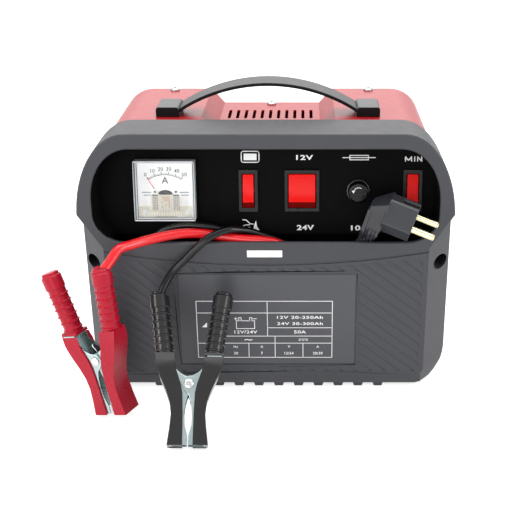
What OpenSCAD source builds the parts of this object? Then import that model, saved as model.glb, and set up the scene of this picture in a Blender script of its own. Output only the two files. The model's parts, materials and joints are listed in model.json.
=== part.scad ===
// Transformer battery charger for 12 V and 24 V car batteries, in millimetres.
// +Z is up, the front faces -Y, and the origin is the middle of the case's footprint on the floor.
// Depths (y) in the modules are counted from the front wall's outer face, towards the back.

/* [Case] */
// Width of the front frame
frame_w = 269; // [250:1:330]
// Height of the front frame's top above the floor
frame_h = 201; // [190:1:245]
// Depth of the front frame
frame_d = 38.5; // [38:0.5:60]
// Depth of the whole case, front wall to the cover's rear edge
case_d = 158; // [140:1:200]
// Wall of the moulded front frame
frame_wall = 3; // [2:0.5:4]
// Height of the foot ribs under the front frame
foot_h = 3; // [2:0.5:4]
// Thickness of the folded steel sheet
sheet_t = 1.2; // [0.8:0.1:2]
// Height of the base plate's underside above the floor
base_z = 12; // [10:0.5:16]
// Width of the sheet cover
cover_w = 246; // [230:1:250]
// How far the cover's raised sides lie below the frame's top
cover_drop = 6; // [5:0.5:12]
// Radius of the cover's upper corners
cover_r = 25; // [15:1:35]
// Depth of the channel along the middle of the cover
channel_h = 11.7; // [6:0.1:14]
// Width of the channel's floor
channel_w = 78.8; // [60:0.1:90]

/* [Front opening] */
// Width of the frame's rim beside the opening
rim_w = 11.8; // [9:0.1:16]
// Height of the lip below the opening, above the floor
lip_h = 121; // [110:1:130]
// Inside width of the cable bin
bin_w = 226; // [220:1:230]
// Depth of the cable bin's rear wall behind the front wall
bin_d = 36; // [34:0.5:36]

/* [Control panel] */
// Backward tilt of the control panel, in degrees
panel_tilt = 8; // [0:0.5:10]
// Depth of the panel's face at the switches' centre line
panel_y = 28; // [24:0.5:29]
// Height of the switches' centre line
panel_z = 148; // [140:1:155]
// Thickness of the panel sheet
panel_t = 2; // [1:0.1:3]
// Side of the square ammeter face
meter_side = 44; // [36:1:54]
// How far the ammeter's lens stands proud of the panel
meter_proud = 13; // [10:0.5:16]
// Swing of the needle from zero to full scale, in degrees
meter_swing = 66; // [50:1:90]
// Length of the needle from its pivot
needle_len = 23.5; // [18:0.5:25]
// Height of a switch bezel
bezel_h = 31; // [28:0.5:37]
// Width of the narrow switches' bezel
narrow_w = 14; // [12:0.5:18]
// Width of the wide switch's bezel
wide_w = 25.5; // [22:0.5:31]
// Diameter of the fuse knob
knob_d = 16.8; // [14:0.1:20]

/* [Handle] */
// Distance between the middles of the handle blocks
handle_span = 150.5; // [140:0.5:168]
// Width of the strap
strap_w = 24; // [18:1:30]
// Thickness of the strap
strap_t = 2.5; // [2:0.1:4]
// Height of the strap's top above the cover's raised sides
strap_rise = 25.5; // [22:0.5:34]

/* [Battery clamps] */
// Distance from the rivet to the jaw tips
jaw_len = 42; // [38:1:52]
// Length of the ribbed handle sleeve
sleeve_len = 49.5; // [42:0.5:60]
// Diameter of the ribbed handle sleeve
sleeve_d = 14.4; // [12:0.1:15]
// Diameter of the clamp's rivet
rivet_d = 4; // [3:0.1:5]

/* [Leads] */
// Diameter of the red lead
red_d = 7; // [6:0.1:7]
// Diameter of the black lead
black_d = 5.5; // [4.5:0.1:5.5]
// Diameter of the mains lead
mains_d = 6; // [5:0.1:6]

/* [Transformer] */
// Width of the laminated core
core_w = 114; // [96:1:137]
// Height of the laminated core
core_h = 95; // [80:1:114]
// Stack depth of the laminated core
core_t = 50; // [40:1:60]

/* [Hidden] */
$fn = 48;
fit = 0.3;          // clearance between parts that only sit together
eps = 0.01;         // overshoot of cuts
half_w = frame_w / 2;
big = 3 * max(frame_w, case_d);

// Frame outline
corner_rx = 38;
corner_rz = 64;
base_r = 24;
chamfer_x = half_w - 17.5;    // where the side chamfer meets the front wall
chamfer_d = 19.5;
crease_low = lip_h - 6;
crease_high = lip_h + 21;
flange_t = 2;
toe_h = 9;
toe_d = 4;
face_r = 6;                   // radius of the front wall's lower corners
corner_cuts = 5;
foot_count = 12;
foot_pitch = 15.2;
groove_step = 10.8;           // spacing of the slanted grooves across the lower front wall
groove_angle = 37.5;
groove_cut = [[-1, -2.2], [0, -2.2], [0.7, 0.6], [0, 1], [-1, 1]];     // depth and place across the groove
lip_arc_rise = 10.2;          // how far the arc under the lip rises from its middle to its ends
lip_arc_low = lip_h - 16.7;
lip_arc_r = (chamfer_x * chamfer_x + lip_arc_rise * lip_arc_rise) / (2 * lip_arc_rise);
label_w = 131.5;
label_z0 = 21;
label_z1 = 96.6;
screw_x = half_w - 7.5;
screw_z = lip_h - 19.5;
screw_hole_r = 5.5;
shank_hole_r = 2.3;
shank_r = 2;

// Opening and bin
open_hw = half_w - rim_w;
open_top = frame_h - 11;
open_rx = 28;
open_rz = 38;
lip_r = 21;
bin_hw = bin_w / 2;
bin_floor = 2 * frame_wall + 2.5;
liner_t = 2.5;
ledge_z = lip_h - 3;
bulk_y = bin_d;

// Cover and base
cover_hw = cover_w / 2;
cover_top = frame_h - cover_drop;
channel_top_w = channel_w + 21.2;
channel_z = cover_top - channel_h;
channel_miter = tan(atan2(channel_h, (channel_top_w - channel_w) / 2) / 2);
cover_y0 = frame_d - flange_t + 0.1;
base_t = 1.5;
rear_t = 1.2;
rear_y = case_d - 2.5;
slot_count = 11;
slot_pitch = 6.5;
tab_d = 12;
cover_screw_y = case_d - 6.5;
cover_screw_x = 80;
side_screw_z = base_z + 7;
side_screw_y = [70, case_d - 22];

// Handle
block_w = 17.5;
block_d = strap_w + 0.6;
block_h = 7.4;
handle_y = 80.8;
strap_end_x = handle_span / 2 - 7;
strap_end_z = cover_top + 3.4;
sagitta = cover_top + strap_rise - strap_t / 2 - strap_end_z;
arch_r = (strap_end_x * strap_end_x + sagitta * sagitta) / (2 * sagitta);
arch_half = asin(strap_end_x / arch_r);
arch_z = strap_end_z + sagitta - arch_r;
handle_screw_r = 1.9;

// Panel places, along the panel from its reference point
meter_x = -open_hw + 49.3;
meter_v = 4.4;
mode_x = -13.6;
voltage_x = 25.6;
fuse_x = 66.6;
current_x = open_hw - 16.4;
switch_v = 2.5;
fuse_v = 2.4;

// Ammeter layers, outward from the panel face
case_base_h = 3;
meter_wall = 1.5;
dial_z = 5.5;
dial_t = 0.8;
needle_z = 8.2;
pivot_drop = 10.5;
movement_r = 7;
barrel_r = 19;
barrel_d = 24;

// Rocker switch
rocker_tilt = 11;
rocker_r = 12.5 + (bezel_h - 31) / 2;
rocker_brow = 8.2;           // where the rocker's lower end turns down, below its middle
brow_drop = 32;
rocker_rise = 2;             // height of the rocker's middle above its pivot
pivot_w = 0.6;               // pivot's height above the panel face
bezel_t = 2;
rocker_side_gap = 0.5;
switch_depth = 22;
trunnion_r = 1.25;
trunnion_gap = 0.05;

// Fuse holder
fuse_body_r = 6.2;
fuse_bore_r = 4.6;
fuse_body_l = 34;
fuse_link_r = 3.1;
fuse_link_l = 30;
knob_h = 7;
knob_skirt = 1.2;

// Moves everything from "counted from the front wall" to the part's own frame
module from_front() { translate([0, -case_d / 2, 0]) children(); }
// Extrudes an XZ outline between two depths
module slab(y0, y1) { translate([0, y1, 0]) rotate([90, 0, 0]) linear_extrude(y1 - y0) children(); }
// Extrudes a YZ outline between two sides
module plank(x0, x1) { translate([x0, 0, 0]) rotate([90, 0, 90]) linear_extrude(x1 - x0) children(); }
module both_sides() { children(); mirror([1, 0, 0]) children(); }
// The space that the panel and its surround may take: all in front of the flange, and inside the cover behind it
module clear_of_cover() {
    slab(-big, frame_d - flange_t) square(2 * big, center = true);
    slab(frame_d - flange_t - 1, case_d) inner_outline(sheet_t + fit, base_z);
}
// Lays local XY on the control panel's face, with local Z pointing out of it
module on_panel(x = 0, v = 0) {
    from_front() translate([0, panel_y, panel_z]) rotate([90 - panel_tilt, 0, 0]) translate([x, v, 0]) children();
}
module rounded_rect(w, h, r) {
    square([w - 2 * r, h], center = true);
    square([w, h - 2 * r], center = true);
    for (x = [-1, 1]) for (y = [-1, 1]) translate([x * (w / 2 - r), y * (h / 2 - r)]) circle(r);
}
function arc(cx, cz, rx, rz, a0, a1, n) =
    [for (i = [0:n]) let (a = a0 + (a1 - a0) * i / n) [cx + rx * cos(a), cz + rz * sin(a)]];

// ---- Front frame ----
// The outline grows outwards by g
function frame_points(g) = let (w = half_w + g, t = frame_h + g, b = foot_h - g, r = base_r + g,
        rx = corner_rx + g, rz = corner_rz + g) concat(
    arc(w - r, b + r, r, r, -90, 0, 8), arc(w - rx, t - rz, rx, rz, 0, 90, 14),
    arc(-w + rx, t - rz, rx, rz, 90, 180, 14), arc(-w + r, b + r, r, r, 180, 270, 8));
function opening_points(g) = let (w = open_hw + g, t = open_top + g, b = lip_h - g, r = lip_r + g,
        rx = open_rx + g, rz = open_rz + g) concat(
    arc(w - r, b + r, r, r, -90, 0, 8), arc(w - rx, t - rz, rx, rz, 0, 90, 12),
    arc(-w + rx, t - rz, rx, rz, 90, 180, 12), arc(-w + r, b + r, r, r, 180, 270, 8));
module cavity_outline(g) {
    polygon(opening_points(g));
    translate([-bin_hw - g, bin_floor - g]) square([bin_w + 2 * g, lip_h + 20 - bin_floor + g]);
}
// Side chamfer below the crease, moved into the material by t
module chamfer_cut(t) {
    slope = chamfer_d / (half_w - chamfer_x);
    side = sqrt(1 + slope * slope);
    rise = (crease_high - crease_low) / (half_w - chamfer_x);
    lift = t * sqrt(1 + rise * rise);
    intersection() {
        translate([-t * slope / side, t / side, -1]) linear_extrude(crease_high + 20)
            polygon([[chamfer_x - 6 / slope, -6], [half_w + 8, chamfer_d + 8 * slope], [half_w + 8, -6]]);
        slab(-8, chamfer_d + 30)
            polygon([[chamfer_x - 10, crease_low - 10 * rise + lift], [half_w + 6, crease_high + 6 * rise + lift],
                [half_w + 6, -2], [chamfer_x - 10, -2]]);
    }
}
// Chamfer along the foot of the front wall, moved into the material by t
module toe_cut(t) {
    side = sqrt(toe_h * toe_h + toe_d * toe_d);
    translate([0, t * toe_h / side, t * toe_d / side]) plank(-big, big)
        polygon([[-toe_d, foot_h + 2 * toe_h], [2 * toe_d, foot_h - toe_h], [-toe_d, foot_h - toe_h]]);
}
// Planes that lead the side chamfer round the lower corner into the foot's, moved into the material by t
module corner_cut(t) {
    x = chamfer_x - face_r;
    z = foot_h + toe_h + face_r;
    for (i = [1:corner_cuts]) let (
            a = 90 * i / (corner_cuts + 1),
            w = base_r - face_r + (half_w - base_r - x) * cos(a) + (z - foot_h - base_r) * sin(a),
            d = toe_d + (chamfer_d - toe_d) * pow(cos(a), 4),
            side = sqrt(w * w + d * d))
        translate([x, 0, z]) rotate([0, a, 0]) translate([-t * d / side, t * w / side, -60]) linear_extrude(120)
            polygon([[face_r - 4 * w / d, -4], [face_r + w + 5 * w / d, d + 5], [face_r + w + 5 * w / d, -4]]);
}
module frame_block(t, y1) {
    difference() {
        slab(t, y1) polygon(frame_points(-t));
        both_sides() chamfer_cut(t);
        both_sides() corner_cut(t);
        toe_cut(t);
    }
}
function panel_face_y(z) = panel_y + (z - panel_z) * tan(panel_tilt);
// Side outline of the room in front of the control panel
function panel_front_line() = [[bulk_y, -5], [bulk_y, ledge_z], [panel_face_y(ledge_z), ledge_z],
    [panel_face_y(frame_h + 20), frame_h + 20]];
module screw_boss() {
    intersection() {
        translate([screw_x, frame_d - flange_t - base_t - 0.1, screw_z]) rotate([90, 0, 0]) cylinder(r = 7.5, h = 30);
        frame_block(0, frame_d);
    }
}
module foot_ribs() {
    for (i = [0:foot_count - 1]) translate([(i - (foot_count - 1) / 2) * foot_pitch, 0, 0])
        slab(toe_d + 0.6, toe_d + 9) polygon([[-3, 0], [3, 0], [4.2, foot_h + 0.5], [-4.2, foot_h + 0.5]]);
}
// Shallow slanted grooves over the lower front wall, outside the label
module wall_grooves() {
    intersection() {
        slab(-1, 2) difference() {
            translate([-chamfer_x + 4, foot_h + toe_h + 3.5]) square([2 * chamfer_x - 8, lip_h - 30]);
            translate([-label_w / 2 - 2, label_z0 - 2]) square([label_w + 4, label_z1 - label_z0 + 4]);
            lip_arc(4);
        }
        for (i = [-16:16]) translate([i * groove_step, 0, 58]) rotate([0, groove_angle, 0])
            plank(-90, 90) polygon(groove_cut);
    }
}
// Disc whose lower edge is the arc under the lip, grown by g
module lip_arc(g) { translate([0, lip_arc_low + lip_arc_r]) circle(lip_arc_r + g, $fn = 360); }
module lip_groove() {
    slab(-1, 0.8) intersection() {
        difference() {
            lip_arc(1.3);
            lip_arc(0);
        }
        translate([-chamfer_x, 0]) square([2 * chamfer_x, lip_h]);
    }
}
module front_frame() {
    color("#3b3c40") from_front() difference() {
        union() {
            difference() {
                frame_block(0, frame_d);
                frame_block(frame_wall, frame_d - flange_t);
                slab(frame_d - flange_t - 1, frame_d + 1) {
                    polygon(cover_points(fit));
                    translate([-bin_hw - liner_t - fit, bin_floor - liner_t - fit])
                        square([bin_w + 2 * liner_t + 2 * fit, 40]);
                }
            }
            intersection() {
                slab(0.5, frame_d) cavity_outline(liner_t);
                plank(-big, big) polygon(concat([[0, frame_h + 20], [0, -5]], panel_front_line()));
                clear_of_cover();
            }
            both_sides() screw_boss();
            foot_ribs();
        }
        slab(-1, 4) polygon(opening_points(0));
        slab(frame_wall, frame_d + 1) cavity_outline(0);
        both_sides() translate([screw_x, frame_d - flange_t - base_t - 0.1 - 3, screw_z]) rotate([90, 0, 0])
            cylinder(r = screw_hole_r, h = 40);
        both_sides() translate([screw_x, frame_d + 1, screw_z]) rotate([90, 0, 0])
            cylinder(r = shank_hole_r, h = 20);
        slab(-1, 0.8) translate([0, (label_z0 + label_z1) / 2])
            square([label_w, label_z1 - label_z0], center = true);
        wall_grooves();
        lip_groove();
        translate([bin_hw - 2, mains_exit_y, mains_exit_z]) rotate([0, 90, 0]) cylinder(r = relief_r + fit, h = 6);
    }
}
module frame_screws() {
    seat = frame_d - flange_t - base_t - 0.1 - 3;
    color("#202124") from_front() both_sides() translate([screw_x, seat, screw_z]) rotate([90, 0, 0])
        difference() {
            union() {
                cylinder(r = 4.4, h = 3);
                translate([0, 0, -11]) cylinder(r = shank_r, h = 11 + eps);
            }
            for (a = [0, 90]) rotate(a) translate([-2.6, -0.5, 1.4]) cube([5.2, 1, 3]);
        }
}

// ---- Control panel ----
module panel_holes() {
    on_panel(meter_x, meter_v) translate([0, 0, -10]) cylinder(r = barrel_r + fit, h = 12);
    for (s = [[mode_x, narrow_w], [voltage_x, wide_w], [current_x, narrow_w]])
        on_panel(s[0], switch_v) translate([0, 0, -5]) linear_extrude(10)
            square([s[1] - 3 + 2 * fit, bezel_h - 3 + 2 * fit], center = true);
    on_panel(fuse_x, fuse_v) translate([0, 0, -10]) cylinder(r = fuse_body_r + fit, h = 12);
}
module control_panel() {
    face = panel_front_line();
    t = panel_t / cos(panel_tilt);
    back_y = panel_face_y(ledge_z + panel_t) + t;
    color("#0c0c0d") difference() {
        from_front() intersection() {
            slab(0, frame_d + 10) cavity_outline(liner_t);
            plank(-big, big) polygon(concat(face, [[face[3][0] + t, face[3][1]], [back_y, ledge_z + panel_t],
                [bulk_y + panel_t, ledge_z + panel_t], [bulk_y + panel_t, -5]]));
            clear_of_cover();
        }
        panel_holes();
        from_front() for (g = grommet_places) translate([g[0], bulk_y - 1, g[1]]) rotate([-90, 0, 0])
            cylinder(r = grommet_neck_r + fit, h = panel_t + 2);
    }
}

// ---- Cover, base and rear ----
function cover_points(g) = let (w = cover_hw + g, t = cover_top + g, r = cover_r + g,
        cw = channel_w / 2 - g * channel_miter, tw = channel_top_w / 2 - g * channel_miter) concat(
    [[w, base_z - g]], arc(w - r, t - r, r, r, 0, 90, 10),
    [[tw, t], [cw, channel_z + g], [-cw, channel_z + g], [-tw, t]],
    arc(-w + r, t - r, r, r, 90, 180, 10), [[-w, base_z - g]]);
// The same outline, open downwards by a further drop
module inner_outline(g, drop) {
    polygon(cover_points(-g));
    translate([-cover_hw + g, base_z - drop]) square([cover_w - 2 * g, 40]);
}
module sheet_cover() {
    color("#c8232c") from_front() difference() {
        slab(cover_y0, case_d) polygon(cover_points(0));
        slab(cover_y0 - 1, case_d + 1) inner_outline(sheet_t, 2);
        for (i = [0:slot_count - 1]) translate([(i - (slot_count - 1) / 2) * slot_pitch, 0, channel_z - 3])
            linear_extrude(6) {
                translate([-1.25, 108]) square([2.5, 23]);
                for (y = [108, 131]) translate([0, y]) circle(r = 1.25);
            }
        for (x = [-cover_screw_x, 0, cover_screw_x]) translate([x, cover_screw_y, channel_z - 4])
            cylinder(r = shank_hole_r, h = 30);
        both_sides() for (y = side_screw_y) translate([cover_hw - 4, y, side_screw_z]) rotate([0, 90, 0])
            cylinder(r = shank_hole_r, h = 8);
        both_sides() translate([handle_span / 2, handle_y, cover_top - 6])
            cylinder(r = handle_screw_r + fit, h = 8);
        both_sides() for (i = [0:6]) translate([cover_hw - 4, 62 + i * 12, 60]) rotate([0, 90, 0])
            linear_extrude(8) { square([36, 3.5], center = true); }
    }
}
module pan_head(r, h) {
    difference() {
        rotate_extrude() polygon([[0, 0], [r, 0], [r, h * 0.45], [r * 0.72, h * 0.85], [0, h]]);
        for (a = [0, 90]) rotate(a) translate([-r * 0.55, -0.45, h * 0.45]) cube([r * 1.1, 0.9, h]);
    }
}
module cover_screws() {
    color("#b9bbc0") from_front() {
        for (x = [-cover_screw_x, 0, cover_screw_x])
            translate([x, cover_screw_y, x == 0 ? channel_z : cover_top]) {
                pan_head(3.9, 2.6);
                translate([0, 0, -6]) cylinder(r = shank_r, h = 6 + eps);
            }
        both_sides() for (y = side_screw_y) translate([cover_hw, y, side_screw_z]) rotate([0, 90, 0]) {
            pan_head(3.9, 2.6);
            translate([0, 0, -6]) cylinder(r = shank_r, h = 6 + eps);
        }
    }
}
module base_plate() {
    hw = cover_hw - sheet_t - fit;
    ear_y = frame_d - flange_t - base_t - 0.1;
    color("#8d9096") from_front() difference() {
        union() {
            translate([-hw, bulk_y + panel_t + 3.5, base_z]) cube([2 * hw, rear_y - bulk_y - panel_t - 3.5, base_t]);
            both_sides() {
                translate([hw - base_t, bulk_y + panel_t + 3.5, base_z])
                    cube([base_t, rear_y - bulk_y - panel_t - 3.5, 18]);
                translate([bin_hw + liner_t + 0.5, ear_y, base_z]) cube([hw - bin_hw - liner_t - 0.5, 8, base_t]);
                translate([bin_hw + liner_t + 0.5, ear_y, base_z])
                    cube([hw - bin_hw - liner_t - 0.5, base_t, screw_z - base_z]);
                translate([bin_hw + liner_t + 0.5, ear_y, screw_z - 9])
                    cube([screw_x + 4 - bin_hw - liner_t - 0.5, base_t, 18]);
            }
        }
        both_sides() for (y = side_screw_y) translate([hw - 3, y, side_screw_z]) rotate([0, 90, 0])
            cylinder(r = shank_hole_r, h = 6);
        both_sides() translate([screw_x, ear_y + 3, screw_z]) rotate([90, 0, 0]) cylinder(r = shank_hole_r, h = 6);
        for (x = [-1, 1]) for (y = bolt_y) translate([core_x + x * bolt_dx, y, base_z - 1])
            cylinder(r = shank_hole_r, h = 4);
        both_sides() translate([bin_hw + liner_t, ear_y - 1, mains_exit_z - 6]) cube([3.3, 4, 12]);
        for (i = [-5:5]) translate([i * 14, case_d - 30, base_z - 1]) linear_extrude(4)
            square([4, 26], center = true);
    }
}
module rear_panel() {
    tab_gap = 0.1;
    color("#8f1a22") from_front() difference() {
        union() {
            intersection() {
                slab(rear_y, rear_y + rear_t) polygon(cover_points(-sheet_t - fit));
                translate([-big / 2, 0, base_z]) cube([big, big, big]);
            }
            for (x = [-cover_screw_x, 0, cover_screw_x])
                translate([x - 9, rear_y - tab_d, (x == 0 ? channel_z : cover_top) - sheet_t - tab_gap - rear_t])
                    cube([18, tab_d + rear_t, rear_t]);
        }
        for (x = [-cover_screw_x, 0, cover_screw_x]) translate([x, cover_screw_y, channel_z - 8])
            cylinder(r = shank_hole_r, h = 30);
        for (row = [0:2]) for (i = [-7:7]) slab(rear_y - 1, rear_y + rear_t + 1)
            translate([i * 12, 62 + row * 36]) rounded_rect(4, 28, 1.9);
    }
}
module rear_feet() {
    color("#17181a") from_front() both_sides() translate([rear_foot_x, case_d - 18, 0])
        rotate_extrude() polygon([[0, 0], [rear_foot_r - 2, 0], [rear_foot_r - 1, 1.2], [rear_foot_r, base_z],
            [0, base_z]]);
}

// ---- Handle ----
module strap_arc(grow, extra) {
    translate([0, handle_y, arch_z]) rotate([90, 0, 0]) rotate([0, 0, 90 - arch_half - extra])
        rotate_extrude(angle = 2 * (arch_half + extra), $fn = 96)
            translate([arch_r - strap_t / 2 - grow, -strap_w / 2 - grow]) square([strap_t + 2 * grow, strap_w + 2 * grow]);
}
module handle_strap() { color("#2b2c2f") from_front() strap_arc(0, 0); }
module handle_blocks() {
    color("#1c1d1f") from_front() both_sides() difference() {
        translate([handle_span / 2, 0, cover_top]) slab(handle_y - block_d / 2 - 1.2, handle_y + block_d / 2 + 1.2)
            polygon([[-block_w / 2, 0], [block_w / 2, 0], [block_w / 2, block_h - 1.6], [block_w / 2 - 1.2, block_h],
                [-block_w / 2 + 1.6, block_h], [-block_w / 2, block_h - 1.6]]);
        strap_arc(0.1, 0.1);
        translate([handle_span / 2, handle_y, cover_top - 1]) cylinder(r = handle_screw_r + 0.1, h = 5.6);
    }
}
module handle_screws() {
    color("#b9bbc0") from_front() both_sides() translate([handle_span / 2, handle_y, cover_top - sheet_t]) {
        mirror([0, 0, 1]) pan_head(4, 2.4);
        translate([0, 0, -eps]) cylinder(r = handle_screw_r, h = sheet_t + 4.4);
    }
}

// ---- Transformer and rectifier ----
core_x = -34;
core_y = 72;
core_z = base_z + base_t + 3;
limb = core_w / 6;
window_h = core_h - 2 * limb;
bolt_dx = core_w / 2 - limb / 2;
bolt_y = [core_y - 5, core_y + core_t + 5];
rear_foot_r = 11.5;
rear_foot_x = bolt_dx - core_x + rear_foot_r;      // the rear feet stand outside the transformer's bolts
winding_h = window_h - 5;
module core_frame() { from_front() translate([core_x, 0, core_z]) children(); }
module transformer_core() {
    color("#6f7278") core_frame() difference() {
        slab(core_y, core_y + core_t) translate([-core_w / 2, 0]) square([core_w, core_h]);
        for (s = [-1, 1]) slab(core_y - 1, core_y + core_t + 1) translate([s * 1.5 * limb, core_h / 2])
            square([limb, window_h], center = true);
    }
}
// Upright ring round the middle limb: outer size grows by g around the limb
module limb_ring(g0, g1, z0, z1) {
    core_frame() translate([0, core_y + core_t / 2, z0]) linear_extrude(z1 - z0) difference() {
        rounded_rect(2 * limb + 2 * g1, core_t + 2 * g1, max(g1, 0.6));
        square([2 * limb + 2 * g0, core_t + 2 * g0], center = true);
    }
}
coil_z0 = (core_h - winding_h) / 2;
coil_z1 = (core_h + winding_h) / 2;
module winding_bobbin() {
    color("#e8e2cc") {
        limb_ring(0.2, 1.4, coil_z0, coil_z1);
        limb_ring(0.2, limb - 0.8, coil_z0 - 1.5, coil_z0);
        limb_ring(0.2, limb - 0.8, coil_z1, coil_z1 + 1.5);
    }
}
module winding(g0, g1) {
    core_frame() translate([0, core_y + core_t / 2, coil_z0]) linear_extrude(winding_h) difference() {
        rounded_rect(2 * limb + 2 * g1, core_t + 2 * g1, g1);
        rounded_rect(2 * limb + 2 * g0, core_t + 2 * g0, g0);
    }
}
primary_out = limb * 0.5;
module primary_winding() { color("#a0522d") winding(1.4, primary_out); }
module secondary_winding() { color("#b8732f") winding(primary_out, limb - 2.4); }
module transformer_bracket() {
    color("#9a9da3") core_frame() difference() {
        union() {
            for (s = [-1, 1]) translate([s * bolt_dx - 9, core_y - 14, -3]) cube([18, core_t + 28, 3]);
            for (s = [-1, 1]) for (y = [core_y - 1.5, core_y + core_t])
                translate([s * bolt_dx - 9, y, -eps]) cube([18, 1.5, limb]);
        }
        for (s = [-1, 1]) for (y = bolt_y) translate([s * bolt_dx, y, -4]) cylinder(r = shank_hole_r, h = 6);
    }
}
module transformer_bolts() {
    color("#b9bbc0") from_front() for (s = [-1, 1]) for (y = bolt_y) translate([core_x + s * bolt_dx, y, 0]) {
        translate([0, 0, base_z - 3.2]) cylinder(r = 3.4, h = 3.2, $fn = 6);
        translate([0, 0, base_z - eps]) cylinder(r = shank_r, h = base_t + 6);
        translate([0, 0, base_z + base_t + 3]) difference() {
            cylinder(r = 3.4, h = 3, $fn = 6);
            translate([0, 0, -1]) cylinder(r = shank_r, h = 1);
        }
    }
}
sink_x = 72;
sink_y = 64;
sink_t = 3;
sink_h = 70;
sink_l = 72;
module rectifier_heatsink() {
    color("#b5b9be") from_front() difference() {
        union() {
            translate([sink_x, sink_y, base_z + base_t]) cube([sink_t, sink_l, sink_h]);
            translate([sink_x, sink_y, base_z + base_t]) cube([22, sink_l, sink_t]);
            for (i = [0:5]) translate([sink_x - 10, sink_y + 2 + i * 13, base_z + base_t + 12])
                cube([10 + eps, 2, sink_h - 12]);
        }
        for (y = diode_y) translate([sink_x - 1, y, diode_z]) rotate([0, 90, 0]) cylinder(r = 3.2, h = 5);
    }
}
diode_y = [sink_y + 22.5, sink_y + 48.5];
diode_z = base_z + base_t + 44;
module rectifier_diodes() {
    color("#c9cbd0") from_front() for (y = diode_y) translate([sink_x + sink_t, y, diode_z]) rotate([0, 90, 0]) {
        cylinder(r = 7.5, h = 3, $fn = 6);
        translate([0, 0, 3 - eps]) cylinder(r = 5.8, h = 6);
        translate([0, 0, 9 - 2 * eps]) cylinder(r = 1.4, h = 8);
        translate([0, 0, -8]) cylinder(r = 3, h = 8 + eps);
        translate([0, 0, -sink_t - 3.2]) cylinder(r = 5.4, h = 3.2, $fn = 6);
    }
}
module thermal_cutout() {
    color("#e9e6da") from_front() translate([core_x, core_y - limb + 2.4 - 3.1, core_z + core_h / 2])
        rotate([90, 0, 0]) {
            translate([0, 0, -3]) cylinder(r = 8, h = 5);
            for (s = [-1, 1]) translate([s * 4 - 1.5, -14, 0]) cube([3, 10, 0.8]);
        }
}
block_x = 40;
block_y = 60;
module terminal_block() {
    color("#d9d9d2") from_front() translate([block_x, block_y, base_z + base_t]) difference() {
        cube([22, 46, 14]);
        for (i = [0:3]) for (x = [5.5, 16.5]) translate([x, 7 + i * 10.7, 9]) cylinder(r = 3, h = 6);
    }
}
module inner_wires() {
    back_y = bulk_y + panel_t + grommet_out;
    x = bin_hw + liner_t + 1.7;
    top = base_z + base_t + sink_h;
    color("#a33a2a") from_front() {
        tube([[red_grommet[0], back_y, red_grommet[1]], [red_grommet[0], back_y + 5, red_grommet[1]],
            [red_grommet[0] - 2, 50, 26], [red_grommet[0] - 6, 53, 40], [-98, 54, 70], [-98, 54, 98],
            [-94, 55, 112], [-84, 57, 120], [-70, 59, 122], [-30, 60, 122], [20, 60, 122], [46, 61, 121],
            [61, 64, 117], [70, 71, 108], [sink_x + 1.5, 78, 99], [sink_x + 1.5, 80, top + 8],
            [sink_x + 1.5, 80, top]], 2.2, 8);
        tube([[black_grommet[0], back_y, black_grommet[1]], [black_grommet[0], back_y + 5, black_grommet[1]],
            [99, 50, 18], [90, 54, 19.6], [79, 57.5, 20.5], [72.5, 62, 20.5], [67, 64, 20.5],
            [block_x + 22, 64, 20.5]], 2, 8);
        tube([[bin_hw + liner_t + 0.1, mains_exit_y, mains_exit_z], [x - 0.9, mains_exit_y, mains_exit_z],
            [x - 0.2, mains_exit_y + 0.7, mains_exit_z], [x, mains_exit_y + 2.4, mains_exit_z], [x, 38, mains_exit_z],
            [x - 1.5, 41, mains_exit_z], [x - 6, 44, mains_exit_z + 3], [100, 46, 38], [72, 48, 41],
            [52, 52, 40], [block_x + 5.5, 58, 38], [block_x + 5.5, 64, 33],
            [block_x + 5.5, 64, base_z + base_t + 14]], 1.1, 8);
    }
}

// ---- Ammeter, on the panel face ----
module meter() { on_panel(meter_x, meter_v) children(); }
module ammeter_case() {
    color("#2a2b2e") meter() difference() {
        union() {
            translate([0, 0, 0]) linear_extrude(case_base_h) square(meter_side, center = true);
            translate([0, 0, -barrel_d]) cylinder(r = barrel_r, h = barrel_d + eps);
            for (s = [-1, 1]) translate([s * 8, 0, -barrel_d - 10]) cylinder(r = 2, h = 10.5);
            for (s = [-1, 1]) translate([s * 8, 0, -barrel_d - 3]) cylinder(r = 4, h = 3, $fn = 6);
            for (s = [-1, 1]) translate([s * 15, -16, case_base_h - eps]) cylinder(r = 2.2, h = dial_z - case_base_h);
            for (s = [-1, 1]) translate([s * 15, 14, case_base_h - eps]) cylinder(r = 2.2, h = dial_z - case_base_h);
        }
        translate([0, -pivot_drop, -8]) cylinder(r = movement_r + 0.8, h = 20);
    }
}
module ammeter_movement() {
    color("#c9a24a") meter() translate([0, -pivot_drop, -8]) {
        cylinder(r = movement_r, h = 8 + dial_z + dial_t - 0.3);
        translate([0, 0, 8 + dial_z + dial_t - 0.3 - eps]) cylinder(r = 1.1, h = needle_z - dial_z - dial_t + 0.3);
    }
}
module ammeter_dial() {
    w = meter_side - 2 * meter_wall - 1;
    color("#f4f4f0") meter() translate([0, 0, dial_z]) linear_extrude(dial_t) difference() {
        square(w, center = true);
        translate([0, -pivot_drop]) circle(movement_r + 0.6);
        translate([-movement_r - 0.6, -w / 2 - 1]) square([2 * movement_r + 1.2, w / 2 - pivot_drop + 1]);
    }
}
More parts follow.
